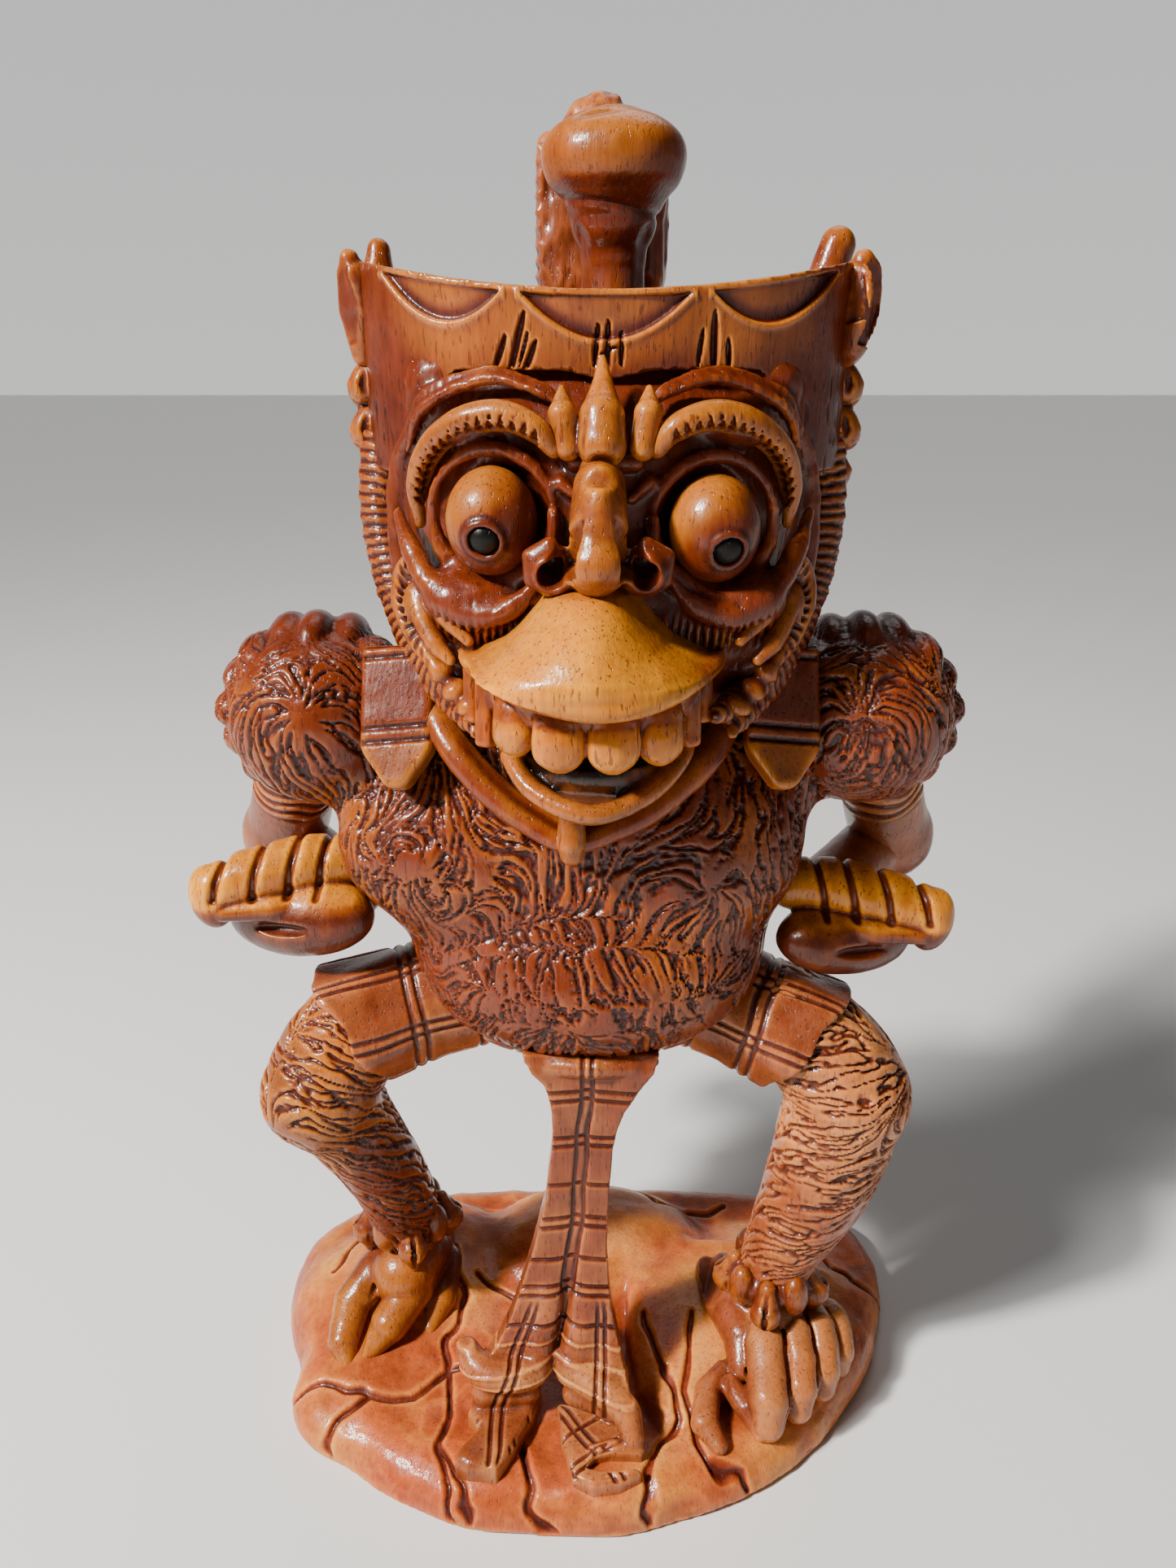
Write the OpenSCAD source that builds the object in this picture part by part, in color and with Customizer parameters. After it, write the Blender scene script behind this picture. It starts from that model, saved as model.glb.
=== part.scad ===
// Carved wooden guardian figure, standing with hands on the hips on a rocky base.
// Millimetres. Origin: centre of the base underside. The figure faces -Y, Z is up.
// "left" and "right" are as seen by someone facing the figure (left is -X).

/* [Base] */
// width of the rocky base
base_w = 164; // [158:1:168]
// depth of the rocky base
base_d = 108; // [104:1:112]
// height of the outer edge of the base
base_h = 9; // [8:0.5:11]

/* [Body] */
// half width of the chest
chest_rx = 52; // [50:0.5:53]
// half width of the belly
belly_rx = 37; // [35:0.5:38]
// radius of a shoulder cap
shoulder_r = 19; // [18:0.5:20]
// radius of an upper arm
arm_r = 10; // [9:0.5:10.5]
// radius of a knee
knee_r = 14; // [13:0.5:15]
// radius of a leg at the ankle
ankle_r = 8.5; // [8:0.25:9]
// radius of a thigh cloth at its hem
hem_r = 16.5; // [16:0.5:18]

/* [Head] */
// half width of the head
head_rx = 41; // [40:0.5:42]
// radius of an eyeball
eye_r = 8.5; // [8:0.25:9]
// radius of a pupil inlay
pupil_r = 3; // [2.5:0.25:3.5]
// length of the bill in front of the cheeks
bill_l = 20; // [18:0.5:21]
// thickness of the crown wall
crown_t = 6; // [5:0.5:7]
// height of the middle of the crown rim
crown_z = 261; // [259:0.5:262]

/* [Topknot] */
// height of the tip of the rear post
post_z = 301; // [298:0.5:304]
// radius of the round knob
knob_r = 13.6; // [12.5:0.1:14]
// radius of the waist under the knob
waist_r = 7.4; // [7:0.1:8]

/* [Fit] */
// glue line between neighbouring pieces
gap = 0.15; // [0.1:0.05:0.2]

/* [Hidden] */
hx = 3;
mx = 0.7;
eye_l = [-17.3, -32, 222.3];
eye_rt = [22.8, -32, 221];

// ---------- small helpers ----------
module ball(p, r, f = 14) {
  translate(p) sphere(r = r, $fn = f);
}

module egg(p, r, f = 18) {
  hull() translate(p) scale(r) sphere(r = 1, $fn = f);
}

module rod(p, r, q, s, f = 12) {
  hull() {
    ball(p, r, f);
    ball(q, s, f);
  }
}

module side(s) {
  scale([s, 1, 1]) children();
}

function oval(rx, ry, n, a0, a1) =
  [for (i = [0:n]) [rx * cos(a0 + (a1 - a0) * i / n), ry * sin(a0 + (a1 - a0) * i / n)]];

module disc(p, rx, ry, h, n = 40) {
  translate(p) linear_extrude(height = h) polygon(oval(rx, ry, n - 1, 0, 360 * (n - 1) / n));
}

// ---------- plain shapes, each grown by g ----------
module base_s(g) {
  rx = base_w / 2;
  ry = base_d / 2;
  hull() {
    disc([0, 0, 0], rx - 8 + g, ry - 3 + g, 1);
    disc([0, 15, 0], rx - 4 + g, ry - 18 + g, 1);
    disc([0, 0, base_h - 4], rx - 4 + g, ry + g, 1);
    disc([0, 15, base_h - 4], rx + g, ry - 15 + g, 1);
    disc([0, 8, base_h + 2 + g], rx - 8, ry - 14, 0.5);
    disc([0, 8, base_h + 6 + g], rx - 22, ry - 24, 0.5);
  }
  hull() {
    disc([-47, 12, 2], 30 + g, 29 + g, 1, 24);
    disc([-47, 12, 14 + g], 22, 22, 1, 24);
    disc([-45, 14, 19 + g], 12, 13, 1, 24);
  }
  hull() {
    disc([44, 4, 2], 33 + g, 34 + g, 1, 24);
    disc([44, 4, 13 + g], 25, 27, 1, 24);
    disc([42, 8, 17 + g], 14, 16, 1, 24);
  }
  hull() {
    disc([2, 22, 2], 36 + g, 27 + g, 1, 24);
    disc([2, 20, 20 + g], 22, 16, 1, 24);
    disc([4, 20, 25 + g], 12, 9, 1, 24);
  }
}

module torso_s(g) {
  hull() {
    translate([-1, -2, 160]) scale([chest_rx + g, 26 + g, 24 + g]) sphere(r = 1, $fn = 24);
    translate([0, -5, 124]) scale([belly_rx + g, 25 + g, 20 + g]) sphere(r = 1, $fn = 24);
  }
  translate([1, 5, 170]) cylinder(r = 18 + g, h = 24 + g, $fn = 32);
}

module leg_l_s(g) {
  rod([-46, -11, 106], 11 + g, [-61, -14, 91], knee_r + g, 16);
  rod([-61, -14, 91], knee_r + g, [-56, -6, 58], 11.5 + g, 16);
  rod([-56, -6, 58], 11.5 + g, [-47, 5, 33], ankle_r + g, 16);
}

module leg_r_s(g) {
  rod([45, -11, 106], 11 + g, [59, -14, 91], knee_r + g, 16);
  rod([59, -14, 91], knee_r + g, [55, -12, 60], 12.5 + g, 16);
  rod([55, -12, 60], 12.5 + g, [45, -11, 30], ankle_r + g, 16);
}

module thigh_s(s, g) {
  hull() {
    ball([s * 24, -2, 113], 16 + g, 16);
    translate([s * 56, -14, 105]) rotate([0, s * 105, s * -18])
      translate([0, 0, -1 - g]) cylinder(r = hem_r + g, h = 3 + 2 * g, $fn = 24);
  }
}

module hip_s(g) {
  egg([0, -1, 110], [36 + g, 25 + g, 14 + g], 20);
}

module sash_s(g) {
  hull() {
    ball([-7, -27, 107], 4 + g, 12);
    ball([11, -27, 107], 4 + g, 12);
    ball([-5, -25, 91], 4 + g, 12);
    ball([5, -25, 91], 4 + g, 12);
  }
  hull() {
    ball([-5, -25, 91], 4 + g, 12);
    ball([5, -25, 91], 4 + g, 12);
    ball([-10, -23, 60], 4.5 + g, 12);
    ball([2, -23, 60], 4.5 + g, 12);
  }
  hull() {
    ball([-10, -23, 60], 4.5 + g, 12);
    ball([2, -23, 60], 4.5 + g, 12);
    ball([-25, -29, 30], 6 + g, 12);
    ball([7, -29, 30], 6 + g, 12);
  }
  hull() {
    ball([-25, -29, 30], 6 + g, 12);
    ball([7, -29, 30], 6 + g, 12);
    ball([-27, -39, 17], 6 + g, 12);
    ball([5, -42, 16], 6 + g, 12);
  }
  rod([-26, -38, 17], 6 + g, [-21, -45, 13], 5 + g);
  rod([4, -40, 17], 7 + g, [3, -47, 13], 5 + g);
}

module shoulder_s(s, g) {
  egg([s * 58 + 0.5, -6, 178], [shoulder_r + g, shoulder_r - 1 + g, shoulder_r + g], 18);
}

module upper_arm_s(s, g) {
  rod([s * 64, 2, 168], arm_r + g, [s * 73, 18, 141], arm_r + g, 14);
}

module forearm_s(s, g) {
  rod([s * 72, 19, 139], 8.5 + g, [s * 52, -4, 137], 7.5 + g, 14);
}

module hand_s(s, g) {
  x = s > 0 ? -4 : 0;
  z = s > 0 ? -4 : 0;
  egg([s * 63 + x, -13, 134 + z], [15 + g, 9 + g, 8 + g], 16);
  rod([s * 54 + x, -10, 146 + z], 6 + g, [s * 82 + x, -17, 142 + z], 4.6 + g, 14);
  rod([s * 56 + x, -7, 137 + z], 8 + g, [s * 72 + x, -13, 142 + z], 5 + g, 12);
}

module collar_s(g) {
  r = 4 + g;
  rod([-3, -33, 161], r, [-17, -30, 167], r);
  rod([-17, -30, 167], r, [-28, -23, 179], r);
  rod([-28, -23, 179], r, [-31, -4, 186], r);
  rod([-3, -33, 161], r, [13, -30, 167], r);
  rod([13, -30, 167], r, [26, -23, 179], r);
  rod([26, -23, 179], r, [30, -4, 186], r);
}

module lappet_s(s, g) {
  hull() {
    ball([s * 44 + 1, -12, 197], 4.5 + g, 12);
    ball([s * 34 + 1, -16, 197], 4.5 + g, 12);
    ball([s * 43, -25, 176], 4 + g, 12);
    ball([s * 32, -27, 174], 4 + g, 12);
    ball([s * 37, -26, 170], 3.5 + g, 12);
  }
}

module head_s(g) {
  hull() {
    translate([hx, -3, 222]) scale([head_rx + g, 31 + g, 32 + g]) sphere(r = 1, $fn = 24);
    translate([hx, -9, 197]) scale([35 + g, 29 + g, 19 + g]) sphere(r = 1, $fn = 24);
  }
}

module bill_s(g) {
  hull() {
    translate([mx, -38, 201.5]) scale([22 + g, 12 + g, 8.8 + g]) sphere(r = 1, $fn = 20);
    translate([mx, -33 - bill_l, 200]) scale([11 + g, 7.5 + g, 8 + g]) sphere(r = 1, $fn = 20);
  }
}

module teeth_s(g) {
  for (t = [[-13.7, 3.4], [-6.9, 4.3], [2.1, 4.5], [11.1, 4.3]])
    egg([mx + t[0], -50 + t[0] * t[0] * 0.04, 188], [t[1] + g, 4.3 + g, 6.5 + g], 12);
  egg([mx - 16.5, -40, 189.5], [3.6 + g, 6 + g, 5 + g], 12);
  egg([mx + 16.5, -40, 189.5], [3.6 + g, 6 + g, 5 + g], 12);
  rod([mx - 18.5, -38, 192.5], 2.8 + g, [mx - 11, -45, 192.5], 3 + g);
  rod([mx - 11, -45, 192.5], 3 + g, [mx + 11, -45, 192.5], 3 + g);
  rod([mx + 18.5, -38, 192.5], 2.8 + g, [mx + 11, -45, 192.5], 3 + g);
  rod([mx - 19.5, -37, 192], 3 + g, [mx - 19.5, -39, 184], 1.5 + g);
  rod([mx + 19.5, -37, 192], 3 + g, [mx + 19.5, -39, 184], 1.5 + g);
}

module tongue_s(g) {
  egg([mx, -37, 179.8], [10.5 + g, 10.5 + g, 3.2 + g], 16);
}

module jaw_s(g) {
  difference() {
    hull() {
      ball([mx, -48, 174.5], 3 + g, 12);
      ball([mx - 17, -36, 182.5], 3 + g, 12);
      ball([mx + 17, -36, 182.5], 3 + g, 12);
      ball([mx - 9, -32, 174], 4 + g, 12);
      ball([mx + 9, -32, 174], 4 + g, 12);
    }
    egg([mx, -37, 183.5], [14.4 - g, 10.5 - g, 9 - g], 18);
  }
}

module mouth_void() {
  egg([mx, -38, 185.5], [18.5, 16, 10], 18);
}

module nose_s(g) {
  rod([hx - 1, -36, 231], 3.6 + g, [hx - 1, -44, 217], 4.8 + g, 14);
  ball([hx - 9, -40, 215], 4.6 + g);
  ball([hx + 6.5, -40, 215], 4.6 + g);
}

module brow_s(s, g) {
  cx = hx + s * 20;
  rod([cx + s * 13, -23, 227], 2.4 + g, [cx + s * 9, -28, 237], 3.4 + g);
  rod([cx + s * 9, -28, 237], 3.4 + g, [cx - s * 1, -32, 240], 3.6 + g);
  rod([cx - s * 1, -32, 240], 3.6 + g, [cx - s * 11, -33, 235], 2.6 + g);
}

module petals_s(g) {
  hull() {
    ball([hx, -30, 245.5], 1.5 + g, 12);
    ball([hx, -34.5, 238], 4 + g, 12);
    ball([hx, -35.5, 233], 2.5 + g, 12);
  }
  rod([hx - 7, -34, 240], 2 + g, [hx - 6, -35, 235], 2.8 + g);
  rod([hx + 7, -34, 240], 2 + g, [hx + 6, -35, 235], 2.8 + g);
}

module curl_s(s, g) {
  cx = hx;
  rod([cx + s * 39, -14, 226], 2.6 + g, [cx + s * 39.5, -17, 212], 3.2 + g);
  rod([cx + s * 39.5, -17, 212], 3.2 + g, [cx + s * 34, -24, 201], 3.4 + g);
  rod([cx + s * 34, -24, 201], 3.4 + g, [cx + s * 27, -31, 200], 2.8 + g);
  rod([cx + s * 34, -24, 201], 3.4 + g, [cx + s * 33, -26, 215], 2.8 + g);
}

module hair_s(s, g) {
  cx = hx - 1;
  rod([cx + s * 43, 2, 240], 4 + g, [cx + s * 44, -4, 214], 4.6 + g);
  rod([cx + s * 44, -4, 214], 4.6 + g, [cx + s * 37, -14, 194], 4.6 + g);
  rod([cx + s * 37, -14, 194], 4.6 + g, [cx + s * 27, -26, 187], 3.6 + g);
}

module crown_s(g) {
  translate([hx + 0.5, 4, 0]) difference() {
    translate([0, 0, 235 - g]) linear_extrude(height = 33 + g)
      polygon(concat(oval(48 + g, 30 + g, 30, 170, 370),
        oval(48 - crown_t - g, 30 - crown_t - g, 30, 370, 170)));
    translate([0, 0, crown_z + 194 + g]) rotate([90, 0, 0])
      cylinder(r = 194, h = 140, center = true, $fn = 90);
  }
}

module horns_s(s, g) {
  cx = hx + 0.5;
  rod([cx + s * 47.5, 0, 256], 3.4 + g, [cx + s * 48.5, -4, 266], 1.8 + g);
  rod([cx + s * 47.5, 0, 256], 3.4 + g, [cx + s * 45, 12, 258], 4.4 + g);
  rod([cx + s * 45, 12, 258], 4.4 + g, [cx + s * 45, 13, 270], 1.6 + g);
}

module side_leaf_s(s, g) {
  cx = hx + 0.5;
  rod([cx + s * 46, 8, 252], 4.4 + g, [cx + s * 46.5, 7, 240], 4.8 + g);
  rod([cx + s * 46.5, 7, 240], 4.8 + g, [cx + s * 44.5, 6, 226], 4.2 + g);
}

module post_s(g) {
  hull() {
    translate([-9 - g, 18 - g, 216 - g]) cube([24 + 2 * g, 14 + 2 * g, 20]);
    translate([-11 - g, 19 - g, 250]) cube([28 + 2 * g, 15 + 2 * g, 10]);
    translate([-11 - g, 24 - g, 280]) cube([28 + 2 * g, 12 + 2 * g, 10]);
    translate([-6 - g, 27 - g, post_z - 5]) cube([18 + 2 * g, 9 + 2 * g, 5 + g]);
  }
}

module knob_s(g) {
  w = waist_r + g;
  k = knob_r + g;
  translate([5, 8, 0]) rotate_extrude($fn = 40)
    polygon([[0, 243 - g], [w + 4, 243 - g], [w + 3, 252], [w + 0.5, 262], [w, 270],
      [w + 1, 276], [k - 3, 278 - g], [k, 283], [k, 288], [k - 2.5, 292.5 + g],
      [k - 7, 295 + g], [0, 296 + g]]);
}

// ---------- the carved pieces ----------
module base() {
  color([0.72, 0.36, 0.22]) base_s(0);
}

module foot_left() {
  color([0.6, 0.3, 0.17]) difference() {
    foot_l_solid(0);
    base_s(gap);
    leg_l_s(gap);
  }
}

module foot_right() {
  color([0.66, 0.36, 0.2]) difference() {
    foot_r_solid(0);
    base_s(gap);
    leg_r_s(gap);
  }
}

module cuff_l_s(g) {
  hull() {
    ball([-48, 4, 41], ankle_r + 3 + g, 16);
    ball([-47, 4, 35], ankle_r + 4.5 + g, 16);
  }
}

module cuff_r_s(g) {
  hull() {
    ball([47, -12, 37], ankle_r + 3.5 + g, 16);
    ball([45.5, -12, 31], ankle_r + 4.5 + g, 16);
  }
}

module ankle_cuff_left() {
  color([0.52, 0.24, 0.13]) difference() {
    cuff_l_s(0);
    leg_l_s(gap);
    foot_l_solid(gap);
    base_s(gap);
  }
}

module foot_l_solid(g) {
  rod([-46, 12, 24], 10 + g, [-49, -5, 20], 11 + g, 14);
  rod([-51, -3, 21], 7 + g, [-59, -21, 13], 3.4 + g);
  rod([-46, -3, 21], 7 + g, [-50, -19, 13], 3.4 + g);
  rod([-42, 0, 19], 6 + g, [-41, -14, 12], 3.4 + g);
}

module foot_r_solid(g) {
  rod([46, -2, 22], 10 + g, [44, -16, 19], 11 + g, 14);
  rod([37, -20, 18], 7 + g, [31, -38, 11], 5.5 + g);
  rod([42, -18, 18], 6 + g, [42, -37, 13], 4.6 + g);
  rod([47, -16, 19], 6 + g, [50, -32, 13], 4.6 + g);
  rod([51, -13, 19], 6 + g, [57, -25, 13], 4.6 + g);
  rod([53, -10, 19], 6 + g, [63, -18, 13], 4.6 + g);
}

module ankle_cuff_right() {
  color([0.52, 0.24, 0.13]) difference() {
    cuff_r_s(0);
    leg_r_s(gap);
    foot_r_solid(gap);
    base_s(gap);
  }
}

module leg_left() {
  color([0.6, 0.3, 0.16]) difference() {
    leg_l_s(0);
    base_s(gap);
  }
}

module leg_right() {
  color([0.6, 0.3, 0.16]) difference() {
    leg_r_s(0);
    base_s(gap);
  }
}

module thigh_cloth_left() {
  color([0.66, 0.35, 0.2]) difference() {
    thigh_s(-1, 0);
    torso_s(gap);
    leg_l_s(gap);
    thigh_cut();
  }
}

module thigh_cloth_right() {
  color([0.66, 0.35, 0.2]) difference() {
    thigh_s(1, 0);
    torso_s(gap);
    leg_r_s(gap);
    thigh_cut();
  }
}

module thigh_cut() {
  translate([-18, -60, 70]) cube([36, 120, 80]);
}

module hip_cloth() {
  color([0.62, 0.33, 0.18]) difference() {
    hip_s(0);
    torso_s(gap);
    thigh_s(-1, gap);
    thigh_s(1, gap);
    sash_s(gap);
  }
}

module sash() {
  color([0.68, 0.38, 0.24]) difference() {
    sash_s(0);
    torso_s(gap);
    base_s(gap);
  }
}

module torso() {
  color([0.5, 0.24, 0.13]) difference() {
    torso_s(0);
  }
}

module shoulder_left() {
  color([0.54, 0.27, 0.16]) difference() {
    shoulder_s(-1, 0);
    torso_s(gap);
    lappet_s(-1, gap);
  }
}

module shoulder_right() {
  color([0.54, 0.27, 0.16]) difference() {
    shoulder_s(1, 0);
    torso_s(gap);
    lappet_s(1, gap);
  }
}

module upper_arm_left() {
  color([0.6, 0.3, 0.18]) difference() {
    upper_arm_s(-1, 0);
    shoulder_s(-1, gap);
    torso_s(gap);
  }
}

module upper_arm_right() {
  color([0.6, 0.3, 0.18]) difference() {
    upper_arm_s(1, 0);
    shoulder_s(1, gap);
    torso_s(gap);
  }
}

module forearm_left() {
  color([0.6, 0.3, 0.18]) difference() {
    forearm_s(-1, 0);
    upper_arm_s(-1, gap);
    torso_s(gap);
    hand_s(-1, gap);
  }
}

module forearm_right() {
  color([0.6, 0.3, 0.18]) difference() {
    forearm_s(1, 0);
    upper_arm_s(1, gap);
    torso_s(gap);
    hand_s(1, gap);
  }
}

module hand_left() {
  color([0.76, 0.47, 0.26]) difference() {
    hand_s(-1, 0);
    torso_s(gap);
    upper_arm_s(-1, gap);
  }
}

module hand_right() {
  color([0.76, 0.47, 0.26]) difference() {
    hand_s(1, 0);
    torso_s(gap);
    upper_arm_s(1, gap);
  }
}

module collar() {
  color([0.66, 0.38, 0.18]) difference() {
    collar_s(0);
    torso_s(gap);
    lappet_s(-1, gap);
    lappet_s(1, gap);
    pendant_s(gap);
  }
}

module pendant_s(g) {
  hull() {
    ball([-3, -36, 160], 3.2 + g, 12);
    ball([-3, -35, 168], 2.2 + g, 12);
  }
}

module pendant() {
  color([0.66, 0.38, 0.18]) difference() {
    pendant_s(0);
    torso_s(gap);
  }
}

module lappet_left() {
  color([0.68, 0.4, 0.22]) difference() {
    lappet_s(-1, 0);
    torso_s(gap);
    hair_s(-1, gap);
  }
}

module lappet_right() {
  color([0.68, 0.4, 0.22]) difference() {
    lappet_s(1, 0);
    torso_s(gap);
    hair_s(1, gap);
  }
}

module head() {
  color([0.58, 0.27, 0.14]) difference() {
    head_s(0);
    torso_s(gap);
    collar_s(gap);
    lappet_s(-1, gap);
    lappet_s(1, gap);
    crown_s(gap);
    post_s(gap);
    knob_s(gap);
    mouth_void();
    translate(eye_l) sphere(r = eye_r + gap, $fn = 40);
    translate(eye_rt) sphere(r = eye_r + gap, $fn = 40);
    shoulder_s(-1, gap);
    shoulder_s(1, gap);
  }
}

module hair_left() {
  color([0.5, 0.22, 0.12]) difference() {
    hair_s(-1, 0);
    head_s(gap);
    torso_s(gap);
    collar_s(gap);
    crown_s(gap);
    shoulder_s(-1, gap);
  }
}

module hair_right() {
  color([0.5, 0.22, 0.12]) difference() {
    hair_s(1, 0);
    head_s(gap);
    torso_s(gap);
    collar_s(gap);
    crown_s(gap);
    shoulder_s(1, gap);
  }
}

module cheek_curl_left() {
  color([0.56, 0.26, 0.14]) difference() {
    curl_s(-1, 0);
    head_s(gap);
    hair_s(-1, gap);
    bill_s(gap);
    eye_s(gap);
  }
}

module cheek_curl_right() {
  color([0.56, 0.26, 0.14]) difference() {
    curl_s(1, 0);
    head_s(gap);
    hair_s(1, gap);
    bill_s(gap);
    eye_s(gap);
  }
}

module eye_s(g) {
  translate(eye_l) sphere(r = eye_r + g, $fn = 40);
  translate(eye_rt) sphere(r = eye_r + g, $fn = 40);
}

module brow_left() {
  color([0.6, 0.31, 0.16]) difference() {
    brow_s(-1, 0);
    head_s(gap);
    eye_s(gap);
    crown_s(gap);
  }
}

module brow_right() {
  color([0.6, 0.31, 0.16]) difference() {
    brow_s(1, 0);
    head_s(gap);
    eye_s(gap);
    crown_s(gap);
  }
}

module forehead_petals() {
  color([0.64, 0.36, 0.18]) difference() {
    petals_s(0);
    head_s(gap);
    crown_s(gap);
    brow_s(-1, gap);
    brow_s(1, gap);
    nose_s(gap);
  }
}

module nose() {
  color([0.62, 0.33, 0.16]) difference() {
    nose_s(0);
    head_s(gap);
    bill_s(gap);
    ball([hx - 9.5, -45, 215], 2.6);
    ball([hx + 7, -45, 215], 2.6);
  }
}

module gaze(c, down, side) {
  translate(c) rotate([0, 0, side]) rotate([90 + down, 0, 0]) children();
}

module gaze_left() {
  gaze(eye_l, 20, -7) children();
}

module gaze_right() {
  gaze(eye_rt, 24, 14) children();
}

module pupil_bore() {
  translate([0, 0, eye_r - 3]) cylinder(r = pupil_r + 0.1, h = 6, $fn = 32);
}

module pupil_disc() {
  translate([0, 0, eye_r - 2.9]) cylinder(r = pupil_r, h = 3.2, $fn = 32);
}

module eyeball_left() {
  color([0.56, 0.33, 0.16]) difference() {
    translate(eye_l) sphere(r = eye_r, $fn = 40);
    gaze_left() pupil_bore();
  }
}

module eyeball_right() {
  color([0.56, 0.33, 0.16]) difference() {
    translate(eye_rt) sphere(r = eye_r, $fn = 40);
    gaze_right() pupil_bore();
  }
}

module pupil_left() {
  color([0.05, 0.04, 0.035]) gaze_left() pupil_disc();
}

module pupil_right() {
  color([0.05, 0.04, 0.035]) gaze_right() pupil_disc();
}

module bill() {
  color([0.84, 0.56, 0.28]) difference() {
    bill_s(0);
    head_s(gap);
    teeth_s(gap);
  }
}

module upper_teeth() {
  color([0.86, 0.6, 0.3]) difference() {
    teeth_s(0);
    head_s(gap);
    jaw_s(gap);
    tongue_s(gap);
  }
}

module tongue() {
  color([0.3, 0.13, 0.08]) difference() {
    tongue_s(0);
    jaw_s(gap);
  }
}

module lower_jaw() {
  color([0.5, 0.26, 0.13]) difference() {
    jaw_s(0);
    torso_s(gap);
    head_core_cut();
    collar_s(gap);
  }
}

module head_core_cut() {
  difference() {
    head_s(gap);
    egg([mx, -38, 185.5], [18.3, 15.8, 9.8], 18);
  }
}

module crown_band() {
  color([0.64, 0.38, 0.16]) difference() {
    crown_s(0);
    knob_s(gap);
  }
}

module crown_horns_left() {
  color([0.6, 0.33, 0.16]) difference() {
    horns_s(-1, 0);
    crown_s(gap);
    head_s(gap);
  }
}

module crown_horns_right() {
  color([0.6, 0.33, 0.16]) difference() {
    horns_s(1, 0);
    crown_s(gap);
    head_s(gap);
  }
}

module side_leaf_left() {
  color([0.56, 0.28, 0.14]) difference() {
    side_leaf_s(-1, 0);
    crown_s(gap);
    head_s(gap);
    horns_s(-1, gap);
    hair_s(-1, gap);
  }
}

module side_leaf_right() {
  color([0.56, 0.28, 0.14]) difference() {
    side_leaf_s(1, 0);
    crown_s(gap);
    head_s(gap);
    horns_s(1, gap);
    hair_s(1, gap);
  }
}

module topknot_post() {
  color([0.62, 0.32, 0.2]) post_s(0);
}

module topknot_knob() {
  color([0.58, 0.32, 0.14]) difference() {
    knob_s(0);
    post_s(gap);
  }
}

base();
foot_left();
foot_right();
ankle_cuff_left();
ankle_cuff_right();
leg_left();
leg_right();
thigh_cloth_left();
thigh_cloth_right();
hip_cloth();
sash();
torso();
shoulder_left();
shoulder_right();
upper_arm_left();
upper_arm_right();
forearm_left();
forearm_right();
hand_left();
hand_right();
collar();
pendant();
lappet_left();
lappet_right();
head();
hair_left();
hair_right();
cheek_curl_left();
cheek_curl_right();
brow_left();
brow_right();
forehead_petals();
nose();
eyeball_left();
eyeball_right();
pupil_left();
pupil_right();
bill();
upper_teeth();
tongue();
lower_jaw();
crown_band();
crown_horns_left();
crown_horns_right();
side_leaf_left();
side_leaf_right();
topknot_post();
topknot_knob();
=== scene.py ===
import math
import time
import bpy
import numpy as np
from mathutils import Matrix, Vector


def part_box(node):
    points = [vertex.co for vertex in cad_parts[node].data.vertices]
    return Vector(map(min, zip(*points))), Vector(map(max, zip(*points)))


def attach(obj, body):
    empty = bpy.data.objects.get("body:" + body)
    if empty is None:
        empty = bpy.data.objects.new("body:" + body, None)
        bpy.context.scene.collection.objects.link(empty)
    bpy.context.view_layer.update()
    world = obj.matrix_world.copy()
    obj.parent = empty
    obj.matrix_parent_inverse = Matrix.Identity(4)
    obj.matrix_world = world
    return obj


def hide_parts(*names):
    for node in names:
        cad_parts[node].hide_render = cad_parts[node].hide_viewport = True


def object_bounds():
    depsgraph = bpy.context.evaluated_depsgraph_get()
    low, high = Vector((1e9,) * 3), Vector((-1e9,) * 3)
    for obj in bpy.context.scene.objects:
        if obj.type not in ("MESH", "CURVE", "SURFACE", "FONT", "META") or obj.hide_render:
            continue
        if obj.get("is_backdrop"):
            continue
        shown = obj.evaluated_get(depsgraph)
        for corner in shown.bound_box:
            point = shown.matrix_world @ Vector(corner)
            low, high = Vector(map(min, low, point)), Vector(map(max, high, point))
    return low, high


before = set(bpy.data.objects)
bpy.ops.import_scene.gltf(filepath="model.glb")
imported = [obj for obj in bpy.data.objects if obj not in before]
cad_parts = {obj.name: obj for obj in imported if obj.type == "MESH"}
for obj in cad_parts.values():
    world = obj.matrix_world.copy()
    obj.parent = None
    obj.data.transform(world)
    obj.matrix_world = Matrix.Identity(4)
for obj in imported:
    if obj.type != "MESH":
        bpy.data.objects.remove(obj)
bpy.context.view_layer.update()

import openvdb as vdb
from mathutils import Vector

T0 = time.time()
MM = 0.001
SCENE = bpy.context.scene
F32 = np.float32
SIDE = {-1: "left", 1: "right"}


def log(msg):
    print("[%6.1f s] %s" % (time.time() - T0, msg), flush=True)


# ---------------------------------------------------------------- noise
LAT = np.random.default_rng(11).uniform(-1, 1, 32 ** 3).astype(F32)


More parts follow.
